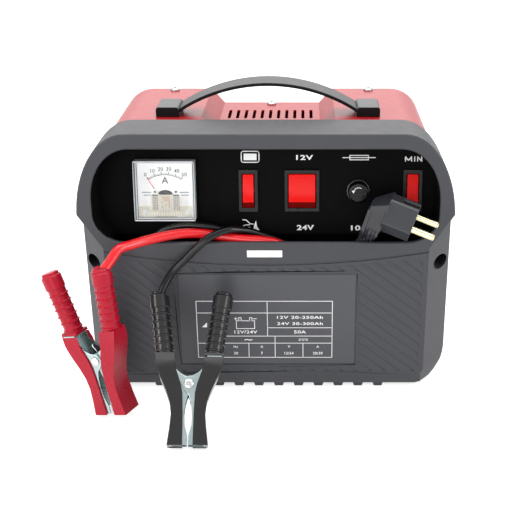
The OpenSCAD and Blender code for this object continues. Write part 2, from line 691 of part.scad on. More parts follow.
// The needle points to zero at rest, to the left of upright
module ammeter_needle() {
    color("#c8323a") meter() translate([0, -pivot_drop, needle_z]) rotate(meter_swing / 2) {
        linear_extrude(0.5) polygon([[-0.5, 0], [0.5, 0], [0.16, needle_len], [-0.16, needle_len]]);
        difference() {
            linear_extrude(0.9) { circle(2.4); translate([-0.8, -6]) square([1.6, 5]); }
            translate([0, 0, -1]) cylinder(r = 1.15, h = 4);
        }
        difference() {
            linear_extrude(0.5) circle(2.4);
            translate([0, 0, -1]) cylinder(r = 1.15, h = 4);
        }
    }
}
module ammeter_lens() {
    inner = meter_side - 2 * meter_wall;
    color([0.85, 0.9, 0.95, 0.35]) meter() difference() {
        translate([0, 0, case_base_h]) linear_extrude(meter_proud - case_base_h) rounded_rect(meter_side, meter_side, 1);
        translate([0, 0, case_base_h - 1]) linear_extrude(meter_proud - case_base_h - meter_wall + 1)
            square(inner, center = true);
    }
}

// ---- Rocker switches ----
module rocker_outline() {
    brow_z = rocker_rise + rocker_brow * tan(rocker_tilt);
    intersection() {
        circle(rocker_r, $fn = 96);
        polygon([[-20, -6], [20, -6], [20, rocker_rise + 20 * tan(rocker_tilt)], [0, rocker_rise],
            [-rocker_brow, brow_z], [-20, brow_z - (20 - rocker_brow) * tan(brow_drop)]]);
    }
}
// The rocker's outline lies in the plane across its width, turned so that its top end is pressed in
module rocker(x, w) {
    paddle = w - 6;
    color("#d3141b") on_panel(x, switch_v) translate([0, 0, pivot_w]) rotate([-rocker_tilt, 0, 0]) {
        rotate([90, 0, 90]) linear_extrude(paddle, center = true) rocker_outline();
        rotate([0, 90, 0]) cylinder(r = trunnion_r, h = paddle + 2 * rocker_side_gap + 1.6, center = true);
    }
}
module switch_body(x, w) {
    paddle = w - 6;
    pocket_w = paddle + 2 * rocker_side_gap;
    color("#232427") on_panel(x, switch_v) difference() {
        union() {
            linear_extrude(bezel_t) square([w, bezel_h], center = true);
            translate([0, 0, -switch_depth]) linear_extrude(switch_depth + eps)
                square([w - 3, bezel_h - 3], center = true);
            for (v = [-8, 0, 8]) translate([-2.4, v - 0.4, -switch_depth - 8]) cube([4.8, 0.8, 8 + eps]);
        }
        translate([0, 0, pivot_w]) rotate([0, 90, 0])
            cylinder(r = rocker_r + 0.25, h = pocket_w, center = true, $fn = 96);
        linear_extrude(bezel_t + 1) square([pocket_w, 2 * rocker_r + 0.5], center = true);
        translate([0, 0, pivot_w]) rotate([0, 90, 0])
            cylinder(r = trunnion_r + trunnion_gap, h = pocket_w + 1.8, center = true);
    }
}
module mode_switch_body() { switch_body(mode_x, narrow_w); }
module mode_switch_rocker() { rocker(mode_x, narrow_w); }
module voltage_switch_body() { switch_body(voltage_x, wide_w); }
module voltage_switch_rocker() { rocker(voltage_x, wide_w); }
module current_switch_body() { switch_body(current_x, narrow_w); }
module current_switch_rocker() { rocker(current_x, narrow_w); }

// ---- Fuse ----
module fuse_place() { on_panel(fuse_x, fuse_v) children(); }
module fuse_holder() {
    color("#1a1b1d") fuse_place() difference() {
        union() {
            cylinder(r = knob_d / 2, h = 1.5);
            translate([0, 0, -fuse_body_l]) cylinder(r = fuse_body_r, h = fuse_body_l + eps);
            translate([0, 0, -panel_t - 4]) cylinder(r = 9, h = 4, $fn = 6);
            translate([-2.4, -0.4, -fuse_body_l - 8]) cube([4.8, 0.8, 8 + eps]);
        }
        translate([0, 0, -fuse_body_l + 2]) cylinder(r = fuse_bore_r, h = fuse_body_l + 2);
    }
}
module fuse_link() {
    color("#c9cbd0") fuse_place() translate([0, 0, -fuse_body_l + 2.3]) difference() {
        cylinder(r = fuse_link_r, h = fuse_link_l);
        for (z = [6.5, 22]) translate([0, 0, z]) difference() {
            cylinder(r = fuse_link_r + 1, h = 0.6);
            translate([0, 0, -1]) cylinder(r = fuse_link_r - 0.3, h = 3);
        }
    }
}
module fuse_knob() {
    color("#151617") fuse_place() difference() {
        union() {
            translate([0, 0, 1.8]) rotate_extrude()
                polygon([[0, 0], [knob_d / 2 - 0.6, 0], [knob_d / 2 - 1, knob_h - 1], [knob_d / 2 - 2, knob_h], [0, knob_h]]);
            translate([0, 0, -3]) cylinder(r = fuse_bore_r - fit, h = 4.8 + eps);
        }
        translate([0, 0, -4]) cylinder(r = fuse_link_r + 0.3, h = 4.6);
        translate([0, 0, 1.8 + knob_h - 1]) linear_extrude(2) square([9.5, 1.6], center = true);
    }
}

// ---- Cords: routes ----
// The routes' points are chosen by hand, along the leads from the case to the clamps and the plug
red_grommet = [-88, 20];
black_grommet = [103, 17];
grommet_places = [red_grommet, black_grommet];
grommet_neck_r = 5;
grommet_r = 7.5;
grommet_out = 2;
mains_exit_y = 29.2;
mains_exit_z = 30;
relief_r = 4.2;
relief_l = 25;
red_tail = [[-88, 34, 20], [-88, 29, 20], [-86.5, 22.5, 19.5], [-81, 16.5, 18.4], [-73, 14.7, 17],
    [-58, 14.7, 14.8], [-42, 14.7, 13], [-30, 14.7, 12.4], [-24, 14.7, 12.4]];
red_front = [[25.3, 7.1, 61.7], [25.3, 7.1, 67], [25.2, 7.1, 76], [24.8, 7, 90], [22, 6.8, 103], [16, 6.9, 112.4],
    [7.5, 7, 117.6], [-4.5, 7, 119.9], [-16, 7, 120.7], [-27, 7.3, 122], [-38, 7.5, 123.8], [-49, 6.4, 125.6],
    [-60, 4.2, 126.5], [-70, 0.4, 126.4], [-79, -4, 126], [-87, -9, 125.6], [-94.5, -14.6, 125.2],
    [-101.4, -20.2, 124.6]];
black_tail = [[103, 34, 17], [103, 29.5, 17], [102, 23.5, 16.3], [98, 16, 14.8], [93, 10, 13], [87.5, 6.8, 12],
    [81, 6.2, 11.65], [75.5, 6.2, 11.65]];
black_front = [[33, 12.3, 54.15], [33, 12.3, 60], [33, 12.4, 70], [32.9, 12.5, 82], [31.6, 13, 94.5],
    [27.4, 14.2, 104.2], [19, 15.4, 111.2], [8.6, 15.6, 116], [-4, 14.2, 121.2], [-15, 11.4, 125.9],
    [-20, 8.6, 127.7], [-26.5, 5, 129], [-34, 1.6, 128], [-42.5, -2.4, 124.5], [-50.3, -4.6, 118],
    [-59, -6.2, 109.4], [-66.6, -8.4, 102.4]];
mains_tail = [[88, 29.2, 30], [82, 29.2, 30], [66, 29.2, 26.8], [48, 29.2, 20.6], [30, 29.2, 15.6],
    [12, 29.2, 12.6], [-8, 29.2, 11.9], [-26, 29.2, 11.9], [-34, 29.2, 11.9], [-40, 29.2, 11.9]];
mains_front = [[-88, 22.6, 59.9], [-88, 22.6, 65], [-88.4, 21.6, 76], [-89, 18.6, 88], [-89.4, 15.6, 101],
    [-86.8, 14.2, 111.4], [-80.8, 14, 120.2], [-73.3, 14, 125.6], [-60, 14.2, 128.6], [-47, 15, 127.6],
    [-36, 16.4, 125], [-26.5, 18.2, 119.6], [-17.5, 20, 112.4], [-8.5, 21.4, 105], [2, 21.8, 97.8],
    [12.5, 21.8, 92.2], [23, 21.6, 88.6], [33.5, 21, 87], [43.5, 20, 87.8], [51.6, 18.6, 90.4],
    [57.6, 16.6, 94.6]];

// Unit vector along a route at point i
function heading(p, i) = let (n = len(p) - 1,
        d = i == 0 ? p[1] - p[0] : i == n ? p[n] - p[n - 1]
            : (p[i] - p[i - 1]) / norm(p[i] - p[i - 1]) + (p[i + 1] - p[i]) / norm(p[i + 1] - p[i]))
    d / norm(d);
function unit(v) = v / norm(v);
function about_x(v, a) = [v[0], v[1] * cos(a) - v[2] * sin(a), v[1] * sin(a) + v[2] * cos(a)];
function about_y(v, a) = [v[0] * cos(a) + v[2] * sin(a), v[1], v[2] * cos(a) - v[0] * sin(a)];
function about_z(v, a) = [v[0] * cos(a) - v[1] * sin(a), v[0] * sin(a) + v[1] * cos(a), v[2]];
function turned(v, r) = about_z(about_y(about_x(v, r[0]), r[1]), r[2]);
function any_side(t) = unit(cross(t, abs(t[2]) < 0.9 ? [0, 0, 1] : [1, 0, 0]));
// Side vectors carried along the route without twist
function sides(p, i = 0, s = undef) = i >= len(p) ? []
    : let (t = heading(p, i), prev = is_undef(s) ? any_side(t) : s, now = unit(prev - t * (prev * t)))
        concat([now], sides(p, i + 1, now));
// A tube of radius r with n sides swept along the points p
module tube(p, r, n) {
    m = len(p);
    s = sides(p);
    points = [for (i = [0:m - 1]) let (t = heading(p, i), u = s[i], v = cross(t, u))
        for (k = [0:n - 1]) let (a = 360 * k / n) p[i] + r * (cos(a) * u + sin(a) * v)];
    walls = [for (i = [0:m - 2]) for (k = [0:n - 1]) let (a = i * n + k, b = i * n + (k + 1) % n)
        each [[a, b, b + n], [a, b + n, a + n]]];
    caps = [for (k = [1:n - 2]) each [[0, k + 1, k], [(m - 1) * n, (m - 1) * n + k, (m - 1) * n + k + 1]]];
    polyhedron(points, [for (f = concat(walls, caps)) [f[0], f[2], f[1]]]);
}
// A flat coil seen from the front: it spirals in for half its turns, climbs a layer and spirals out.
// centre: [x, z]; out_r: radius of the outer turn; way: 1 anticlockwise, -1 clockwise; it starts at the bottom
coil_rings = 24;
function coil_point(u, c, out_r, pitch, turns, way, y0, y1) = let (
        inward = min(u, turns - u), r = out_r - pitch * inward,
        climb = min(max((u - turns / 2 + 0.25) / 0.5, 0), 1), a = -90 + way * 360 * u)
    [c[0] + r * cos(a), y0 + (y1 - y0) * climb, c[1] + r * sin(a)];
function coil_points(c, out_r, pitch, turns, way, y0, y1) =
    [for (i = [0:round(turns * coil_rings)]) coil_point(i / coil_rings, c, out_r, pitch, turns, way, y0, y1)];
// The coil with one diameter of straight cord at both ends: along the bin's floor, and upwards
function with_ends(p, d, way) = concat([p[0] - [way * d, 0, 0]], p, [p[len(p) - 1] + [0, 0, d]]);
// Least gap between turns, on the ring centres
function coil_gap(p, d) = min([for (i = [0:len(p) - 1]) for (j = [i + 14:1:len(p) - 1]) norm(p[i] - p[j]) - d]);
coil_room = 0.6;
red_turns = 4.25;
black_turns = 4.25;
mains_turns = 4.25;
red_coil_at = [-17, 54.7];
red_coil_r = 42.3;
black_coil_at = [70, 48.65];
black_coil_r = 37;
mains_coil_at = [-46, 53.9];
mains_coil_r = 42;
red_coil_points = coil_points(red_coil_at, red_coil_r, red_d + coil_room, red_turns, 1, 14.7, 7.1);
black_coil_points = coil_points(black_coil_at, black_coil_r, black_d + coil_room, black_turns, -1, 6.2, 12.3);
mains_coil_points = coil_points(mains_coil_at, mains_coil_r, mains_d + coil_room, mains_turns, -1, 29.2, 22.6);
echo(red_coil_gap = coil_gap(red_coil_points, red_d), black_coil_gap = coil_gap(black_coil_points, black_d),
    mains_coil_gap = coil_gap(mains_coil_points, mains_d));

module red_coil() { color("#d8232b") from_front() tube(with_ends(red_coil_points, red_d, 1), red_d / 2, 6); }
module black_coil() { color("#1c1c1e") from_front() tube(with_ends(black_coil_points, black_d, -1), black_d / 2, 6); }
module mains_coil() { color("#17181a") from_front() tube(with_ends(mains_coil_points, mains_d, -1), mains_d / 2, 6); }
// The lead's last points: one diameter of straight lead square to its fitting at c, leaving along the way v
function straight_end(c, v, d) = [c + unit(v) * d, c];
module red_lead() {
    color("#e02a30") from_front() {
        tube(red_tail, red_d / 2, 8);
        tube(concat(red_front, red_end), red_d / 2, 8);
    }
}
module black_lead() {
    color("#1f1f21") from_front() {
        tube(black_tail, black_d / 2, 8);
        tube(concat(black_front, black_end), black_d / 2, 8);
    }
}
module mains_lead() {
    color("#17181a") from_front() {
        tube(mains_tail, mains_d / 2, 8);
        tube(concat(mains_front, plug_end), mains_d / 2, 8);
    }
}
module lead_grommets() {
    color("#121314") from_front() for (g = grommet_places) translate([g[0], bulk_y, g[1]]) rotate([90, 0, 0]) {
        cylinder(r = grommet_r, h = grommet_out);
        translate([0, 0, -panel_t - eps]) cylinder(r = grommet_neck_r, h = panel_t + 2 * eps);
        translate([0, 0, -panel_t - 2]) cylinder(r = grommet_r, h = 2);
    }
}
// Tapered boot on the bin's side wall
module mains_strain_relief() {
    color("#121314") from_front() translate([bin_hw, mains_exit_y, mains_exit_z]) rotate([0, -90, 0]) {
        rotate_extrude() polygon([[0, 0], [relief_r + 0.1, 0], [relief_r + 0.1, 2], [relief_r, 2], [relief_r - 0.2, 12],
            [mains_d / 2 + 0.4, relief_l], [0, relief_l]]);
        translate([0, 0, -liner_t]) cylinder(r = relief_r, h = liner_t + eps);
    }
}

// ---- Mains plug, right-angled: local +X points along the pins, -Z along the grip ----
plug_at = [94.8, -5.6, 142.4];
plug_turn = [0, 18, -14];
plug_roll = 7;
plug_head_r = 16.5;
plug_head_t = 21;
plug_flats = 27;
plug_flat_w = 9;
plug_lean = 12;
plug_relief_l = 20;
pin_r = 2.4;
pin_l = 16.5;
pin_gap = 19;
// Where the grip's taper begins, and the way the lead leaves it, in the plug's own frame
grip_end = [-plug_head_t / 2 - 7.5, 6, -29];
grip_way = [-sin(plug_lean), 0, -cos(plug_lean)];
function plug_turned(v) = turned(about_x(v, plug_roll), plug_turn);
plug_mouth = plug_at + plug_turned(grip_end + plug_relief_l * grip_way);
plug_exit = plug_turned(grip_way);
module plug_frame() { from_front() translate(plug_at) rotate(plug_turn) rotate([plug_roll, 0, 0]) children(); }
// Half the head's outline across the pins' plane, where its two shells meet in a crease
plug_half = [[plug_head_r, -0.4], [plug_head_r, 0.4], [plug_flat_w / 2 + 1.5, plug_flats / 2 - 0.7],
    [plug_flat_w / 2, plug_flats / 2]];
plug_section = concat(plug_half, [for (i = [3:-1:0]) [-plug_half[i][0], plug_half[i][1]]],
    [[-plug_flat_w / 2, -plug_flats / 2], [plug_flat_w / 2, -plug_flats / 2]]);
// Grooves round the grip: distance from the head's back, width and depth
grip_grooves = [[2.2, 0.9, 0.8], [4.4, 0.9, 0.8], [8.2, 2.8, 1.8]];
module grip_block(inset) {
    back = -plug_head_t / 2;
    hull() {
        translate([back - 6, 0, -8]) cube([12.5, 17 - 2 * inset, 18 - 2 * inset], center = true);
        translate(grip_end) rotate([0, plug_lean, 0]) cylinder(r = 5.6 - inset, h = 3, $fn = 24);
    }
}
module plug_body() {
    back = -plug_head_t / 2;
    color("#2d2e31") plug_frame() difference() {
        union() {
            plank(-plug_head_t / 2, plug_head_t / 2) polygon([for (q = plug_section) q]);
            hull() {
                translate([back + 0.5, 0, 0]) cube([1, 22, plug_flats - 4], center = true);
                translate([back - 7.5, 0, -5]) cube([8, 14, 17], center = true);
            }
            difference() {
                grip_block(0);
                for (g = grip_grooves) difference() {
                    translate([back - g[0], 0, -10]) cube([g[1], 40, 60], center = true);
                    grip_block(g[2]);
                }
            }
            translate(grip_end) rotate([0, plug_lean, 0]) mirror([0, 0, 1]) rotate_extrude() polygon([[0, -1],
                [5.4, -1], [5.2, 3], [4.2, 3.5], [4.2, 5], [5, 5.5], [4.9, 8], [4, 8.5], [4, 10], [4.7, 10.5],
                [4.5, 13], [mains_d / 2 + 0.6, 13.5], [mains_d / 2 + 0.5, plug_relief_l], [0, plug_relief_l]]);
        }
        for (s = [-1, 1]) translate([0, s * pin_gap / 2, 0]) rotate([0, 90, 0])
            cylinder(r = pin_r + 0.02, h = plug_head_t, center = false);
        for (s = [-1, 1]) translate([plug_head_t / 2 - 6, 0, s * plug_flats / 2])
            cube([13, 5, 3.4], center = true);
    }
}
module plug_pins() {
    color("#c8a95a") plug_frame() for (s = [-1, 1]) translate([0, s * pin_gap / 2, 0]) rotate([0, 90, 0]) {
        translate([0, 0, 0.1]) cylinder(r = pin_r, h = plug_head_t / 2 + pin_l - 1.1);
        translate([0, 0, plug_head_t / 2 + pin_l - 1 - eps]) cylinder(r1 = pin_r, r2 = pin_r - 0.8, h = 1);
    }
}
module plug_earth_clips() {
    color("#b9bbc0") plug_frame() for (s = [-1, 1]) translate([plug_head_t / 2 - 6.2, 0, s * (plug_flats / 2 - 1.2)])
        cube([12, 4.6, 0.9], center = true);
}

// ---- Battery clamps: local Z runs from the rivet to the handles, X to the lever's side ----
handle_lean = 8;
handle_x = 16.5;
handle_z = 18;
sleeve_ribs = 6;
sleeve_rib_gap = 5.3;
collar_l = 12.5;            // smooth collar at the sleeve's end
cover_half = 8.2;           // half depth of the plastic over the jaws
plate_half = 7;             // half depth of the outer lever's side plates
plate_t = 1;
jaw_gap = 0.4;
rivet_hole_r = rivet_d / 2 + 0.05;
skin = 1.5;                 // plastic over the steel's back
// The plastic's outer edge from the tip to the top, as [x, z]
arm_top = 22;
steel_top = arm_top - 2;
back_edge = [[13.9, -jaw_len], [12.4, -jaw_len + 12], [11.7, -0.5 * jaw_len], [12.6, -13], [15.4, -5], [19.4, 4],
    [21.6, 10], [23.4, 17], [24, arm_top]];
front_edge = [[10.4, arm_top], [9.9, 17], [8.8, 9.5], [5.6, 0], [4.3, -6], [3.7, -0.5 * jaw_len], [3.5, -jaw_len]];
function inset(points, d) = [for (q = points) [q[0] - d, q[1]]];
function backwards(points) = [for (i = [len(points) - 1:-1:0]) points[i]];
steel_foot_x = back_edge[0][0] - skin;
steel_head_x = back_edge[8][0] - skin - 0.2;
steel_back = concat([[steel_foot_x, -jaw_len + 0.6]], [for (i = [1:7]) back_edge[i] - [skin, 0]],
    [[steel_head_x, steel_top]]);
// The plates' meeting edges bow apart between the tip and the rivet
plate_outline = concat([[jaw_gap, -8], [1.9, -14], [2.5, -20], [2.2, -28], [jaw_gap, -jaw_len + 7],
    [jaw_gap, -jaw_len + 0.6]], steel_back,
    [[12.6, steel_top], [11.4, 13], [6.5, 8], [2.5, 5.6], [-2.8, 5], [-5.4, 0], [-2.8, -5]]);
// One lever's steel, on the +X side: two side plates, a web, and the tongue in the handle; half is its half depth
module clamp_jaw(half) {
    difference() {
        union() {
            for (s = [0, 1]) mirror([0, s, 0]) slab(half - plate_t, half) polygon(plate_outline);
            slab(-half, half) polygon(concat(steel_back, backwards(inset(steel_back, 1.2))));
            slab(-half, half) polygon([[12.6, steel_top - 1.6], [steel_head_x, steel_top - 1.6],
                [steel_head_x, steel_top], [12.6, steel_top]]);
            translate([handle_x, 0, handle_z]) rotate([0, handle_lean, 0]) translate([-1.5, -4, 0])
                cube([3, 8, sleeve_len - 4]);
        }
        rotate([90, 0, 0]) cylinder(r = rivet_hole_r, h = 30, center = true);
    }
}
module clamp_grip(half) {
    core = sleeve_d / 2 - 0.8;
    collar_z = sleeve_len - collar_l;
    difference() {
        union() {
            intersection() {
                slab(-cover_half, cover_half) polygon(concat(back_edge, front_edge));
                plank(-40, 40) polygon([[-cover_half, -big], [cover_half, -big], [cover_half, arm_top - 9],
                    [sleeve_d / 2 - 0.7, arm_top], [0.7 - sleeve_d / 2, arm_top], [-cover_half, arm_top - 9]]);
            }
            translate([handle_x, 0, handle_z]) rotate([0, handle_lean, 0]) rotate_extrude() polygon(concat(
                [[0, 0], [core, 0]],
                [for (i = [0:sleeve_ribs - 1]) let (z = collar_z + (i - sleeve_ribs) * sleeve_rib_gap)
                    each [[core, z], [core + 0.8, z + 0.4], [core + 0.8, z + 1.2], [core, z + 1.6]]],
                [[core, collar_z], [core + 0.8, collar_z + 0.4], [core + 0.8, sleeve_len - 3],
                [core - 0.2, sleeve_len - 2.2], [core - 0.2, sleeve_len - 0.8], [core - 1, sleeve_len],
                [0, sleeve_len]]));
        }
        slab(-half - 0.05, half + 0.05) polygon(concat([[-20, -jaw_len - 1], [steel_foot_x + 0.05, -jaw_len - 1]],
            inset(steel_back, -0.05), [[steel_head_x + 0.05, steel_top + 0.1], [-20, steel_top + 0.1]]));
        translate([handle_x, 0, handle_z]) rotate([0, handle_lean, 0]) translate([-1.55, -4.05, -1])
            cube([3.1, 8.1, sleeve_len - 2.9]);
        rotate([90, 0, 0]) cylinder(r = 5.5, h = 40, center = true);
    }
}
// The point in the sleeve's end, in the clamp's frame, that the lead's way out passes through
mouth_drop = 4.5;
mouth_cut = 4.1;            // distance from that point to the flat that the lead comes out of
function mouth_place(side) = [side * (handle_x + (sleeve_len - mouth_drop) * sin(handle_lean)), 0,
    handle_z + (sleeve_len - mouth_drop) * cos(handle_lean)];
// Takes the sleeve's end off square to the way v beyond the point c
module cut_mouth(c, v) {
    w = unit(v);
    difference() {
        children();
        from_front() translate(c) rotate([0, acos(w[2]), atan2(w[1], w[0])]) translate([0, 0, mouth_cut])
            cylinder(r = 9, h = 12);
    }
}
// Torsion spring round the rivet: curls of round wire, a long leg against the cable lever and a short
// hooked one behind the free lever's side plate
spring_turns = 3;
spring_wire = 1.4;
spring_r = 4.2;
spring_pitch = 2;
spring_rings = 20;
spring_sweep = 360 * (spring_turns - 1) + 140;
function spring_points() = let (y0 = -spring_turns * spring_pitch / 2) concat(
    [[-19.6, y0, 16], [-12.4, y0, 11], [-6.4, y0, 5.4]],
    [for (i = [0:spring_rings]) let (a = 160 - i * spring_sweep / spring_rings)
        [spring_r * cos(a), y0 * (1 - 2 * i / spring_rings), spring_r * sin(a)]],
    [[6.2, -y0, 5.2], [8, -y0 + 0.3, 7.2], [9.2, -y0 + 1.9, 8.4]]);
module clamp_spring() { tube(spring_points(), spring_wire / 2, 6); }
module clamp_rivet() {
    rotate([90, 0, 0]) {
        cylinder(r = rivet_d / 2, h = 2 * plate_half + 0.2, center = true);
        for (s = [-1, 1]) mirror([0, 0, s < 0 ? 1 : 0]) translate([0, 0, plate_half + 0.1])
            rotate_extrude() polygon([[0, -eps], [3.4, -eps], [3.2, 0.7], [1.8, 1.2], [0, 1.3]]);
    }
}
inner_half = plate_half - plate_t - 0.2;
// Places of the rivets and the turns of the clamps; the cable lever is on side (1 or -1) of each
red_clamp_at = [-118.3, -31.9, 45.2];
red_clamp_turn = [-1.5, -15, -24.5];
red_side = 1;
black_clamp_at = [-52.7, -59.6, 38.4];
black_clamp_turn = [-42.2, 3.7, 5.2];
black_side = -1;
// The ways the leads leave the clamps' cable handles
red_exit = [0.5, 0.6, 0.62];
black_exit = [0.35, 0.5, 0.79];
red_mouth = red_clamp_at + turned(mouth_place(red_side), red_clamp_turn);
black_mouth = black_clamp_at + turned(mouth_place(black_side), black_clamp_turn);
red_end = straight_end(red_mouth + mouth_cut * unit(red_exit), red_exit, red_d);
black_end = straight_end(black_mouth + mouth_cut * unit(black_exit), black_exit, black_d);
plug_end = straight_end(plug_mouth, plug_exit, mains_d);
echo(red_mouth = red_mouth, black_mouth = black_mouth, plug_mouth = plug_mouth, plug_exit = plug_exit);
module clamp_frame(at, turn) { from_front() translate(at) rotate(turn) children(); }
module lever_on(side) { mirror([side < 0 ? 1 : 0, 0, 0]) children(); }
module red_frame() { clamp_frame(red_clamp_at, red_clamp_turn) children(); }
module black_frame() { clamp_frame(black_clamp_at, black_clamp_turn) children(); }
module red_cable_grip() {
    color("#c01f38") cut_mouth(red_mouth, red_exit) red_frame() lever_on(red_side) clamp_grip(inner_half);
}
module red_cable_jaw() { color("#b9bdc2") red_frame() lever_on(red_side) clamp_jaw(inner_half); }
module red_free_grip() { color("#c01f38") red_frame() lever_on(-red_side) clamp_grip(plate_half); }
module red_free_jaw() { color("#b9bdc2") red_frame() lever_on(-red_side) clamp_jaw(plate_half); }
module red_spring() { color("#c6c9cd") red_frame() lever_on(-red_side) clamp_spring(); }
module red_rivet() { color("#c6c9cd") red_frame() clamp_rivet(); }
module black_cable_grip() {
    color("#1d1d1f") cut_mouth(black_mouth, black_exit) black_frame() lever_on(black_side) clamp_grip(inner_half);
}
module black_cable_jaw() { color("#b9bdc2") black_frame() lever_on(black_side) clamp_jaw(inner_half); }
module black_free_grip() { color("#1d1d1f") black_frame() lever_on(-black_side) clamp_grip(plate_half); }
module black_free_jaw() { color("#b9bdc2") black_frame() lever_on(-black_side) clamp_jaw(plate_half); }
module black_spring() { color("#c6c9cd") black_frame() lever_on(-black_side) clamp_spring(); }
module black_rivet() { color("#c6c9cd") black_frame() clamp_rivet(); }

front_frame();
frame_screws();
control_panel();
sheet_cover();
cover_screws();
base_plate();
rear_panel();
rear_feet();
handle_strap();
handle_blocks();
handle_screws();
transformer_core();
winding_bobbin();
primary_winding();
secondary_winding();
transformer_bracket();
transformer_bolts();
rectifier_heatsink();
rectifier_diodes();
thermal_cutout();
terminal_block();
inner_wires();
ammeter_case();
ammeter_movement();
ammeter_dial();
ammeter_needle();
ammeter_lens();
mode_switch_body();
mode_switch_rocker();
voltage_switch_body();
voltage_switch_rocker();
current_switch_body();
current_switch_rocker();
fuse_holder();
fuse_link();
fuse_knob();
mains_strain_relief();
lead_grommets();
red_lead();
red_coil();
black_lead();
black_coil();
mains_lead();
mains_coil();
plug_body();
plug_pins();
plug_earth_clips();
red_cable_grip();
red_cable_jaw();
red_free_grip();
red_free_jaw();
red_spring();
red_rivet();
black_cable_grip();
black_cable_jaw();
black_free_grip();
black_free_jaw();
black_spring();
black_rivet();
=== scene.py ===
"""Portable car battery charger: finishes, printing, leads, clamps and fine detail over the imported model."""

import json
import logging
import math
from dataclasses import dataclass, fields, replace
from enum import Enum
from typing import Any, Callable, Sequence

import bmesh
import bpy
from mathutils import Euler, Matrix, Vector

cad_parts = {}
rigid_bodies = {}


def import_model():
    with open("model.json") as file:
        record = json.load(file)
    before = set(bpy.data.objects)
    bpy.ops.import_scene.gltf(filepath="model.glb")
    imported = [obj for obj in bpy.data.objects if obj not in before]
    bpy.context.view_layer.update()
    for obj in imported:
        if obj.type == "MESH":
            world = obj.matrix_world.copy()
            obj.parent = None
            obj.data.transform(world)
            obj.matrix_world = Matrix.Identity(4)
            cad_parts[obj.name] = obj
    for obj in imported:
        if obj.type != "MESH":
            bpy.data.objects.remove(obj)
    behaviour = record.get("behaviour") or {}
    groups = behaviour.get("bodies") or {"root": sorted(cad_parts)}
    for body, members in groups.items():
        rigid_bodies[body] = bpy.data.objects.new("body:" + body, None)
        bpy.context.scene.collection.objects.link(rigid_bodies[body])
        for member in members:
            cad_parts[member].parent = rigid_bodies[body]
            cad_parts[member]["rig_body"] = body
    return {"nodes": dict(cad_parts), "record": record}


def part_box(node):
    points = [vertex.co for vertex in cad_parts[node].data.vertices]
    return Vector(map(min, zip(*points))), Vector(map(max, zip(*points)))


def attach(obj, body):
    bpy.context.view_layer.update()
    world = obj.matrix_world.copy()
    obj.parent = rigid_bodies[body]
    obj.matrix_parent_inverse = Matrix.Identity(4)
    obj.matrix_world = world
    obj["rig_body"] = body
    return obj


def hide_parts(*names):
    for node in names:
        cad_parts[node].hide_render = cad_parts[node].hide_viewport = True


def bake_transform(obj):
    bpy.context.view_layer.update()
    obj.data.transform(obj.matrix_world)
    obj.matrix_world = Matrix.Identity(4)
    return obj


LOG = logging.getLogger("charger")
MM = 0.001
Point = Sequence[float]
Tree = bpy.types.NodeTree
Node = bpy.types.Node
Socket = bpy.types.NodeSocket
Piece = bpy.types.Object
Face = bpy.types.MeshPolygon
Edge = bmesh.types.BMEdge


class Body(Enum):
    """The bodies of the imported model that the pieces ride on."""

    HOUSING = "housing"
    RED_LEVER = "red_free_lever"
    BLACK_LEVER = "black_free_lever"


class Side(Enum):
    """The side of a clamp that a lever is on, seen with its jaws down."""

    LEFT = -1
    RIGHT = 1


# ---------------------------------------------------------------- helpers


def linear(hex_colour: str) -> tuple[float, float, float, float]:
    """Turns an sRGB colour written as "#rrggbb" into linear red, green, blue and alpha."""
    parts = [int(hex_colour[i : i + 2], 16) / 255 for i in (1, 3, 5)]
    red, green, blue = (p / 12.92 if p <= 0.04045 else ((p + 0.055) / 1.055) ** 2.4 for p in parts)
    return red, green, blue, 1.0


def polar(x: float, y: float, radius: float, turn: float) -> tuple[float, float]:
    """Returns the point at a radius and a turn in radians from x, y."""
    return x + radius * math.cos(turn), y + radius * math.sin(turn)


def add(tree: Tree, kind: str, inputs: dict[Any, Any] | None = None, **settings: Any) -> Node:
    """Adds a node with its settings, values and links.

    Args:
        tree: node tree to add to.
        kind: type of the node, such as "ShaderNodeBump".
        inputs: values or output sockets by the input's name or number.
        settings: attributes of the node.

    Returns:
        The new node.
    """
    node = tree.nodes.new(kind)
    for key, value in settings.items():
        setattr(node, key, value)
    for key, value in (inputs or {}).items():
        if isinstance(value, Socket):
            tree.links.new(value, node.inputs[key])
        else:
            node.inputs[key].default_value = value
    return node


def link_object(name: str, mesh: bpy.types.ID) -> Piece:
    """Puts a mesh or curve in the scene under a name."""
    made = bpy.data.objects.new(name, mesh)
    bpy.context.scene.collection.objects.link(made)
    return made


def body_of_node(node: str) -> str:
    """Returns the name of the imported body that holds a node."""
    return FRAME["nodes"][node]["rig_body"]


def slot_of_node(node: str) -> str:
    """Returns the record's material slot of a node."""
    return next(p["material_slot"] for p in FRAME["record"]["subparts"] if p["node"] == node)


def evaluated_mesh(made: Piece, **options: Any) -> bpy.types.Mesh:
    """Returns a new mesh of what an object's curve or modifiers come to."""
    bpy.context.view_layer.update()
    result = made.evaluated_get(bpy.context.evaluated_depsgraph_get())
    return bpy.data.meshes.new_from_object(result, **options)


def plain_mesh(made: Piece) -> Piece:
    """Replaces the live modifiers of an object at the origin by their result."""
    graph = bpy.context.evaluated_depsgraph_get()
    result = evaluated_mesh(made, preserve_all_data_layers=True, depsgraph=graph)
    result.name = made.name
    made.modifiers.clear()
    made.data = result
    return made


def report(piece: Piece) -> Piece:
    """Logs a finished piece and hands it on."""
    LOG.info("%s: %d faces", piece.name, len(piece.data.polygons) if piece.type == "MESH" else 0)
    return piece


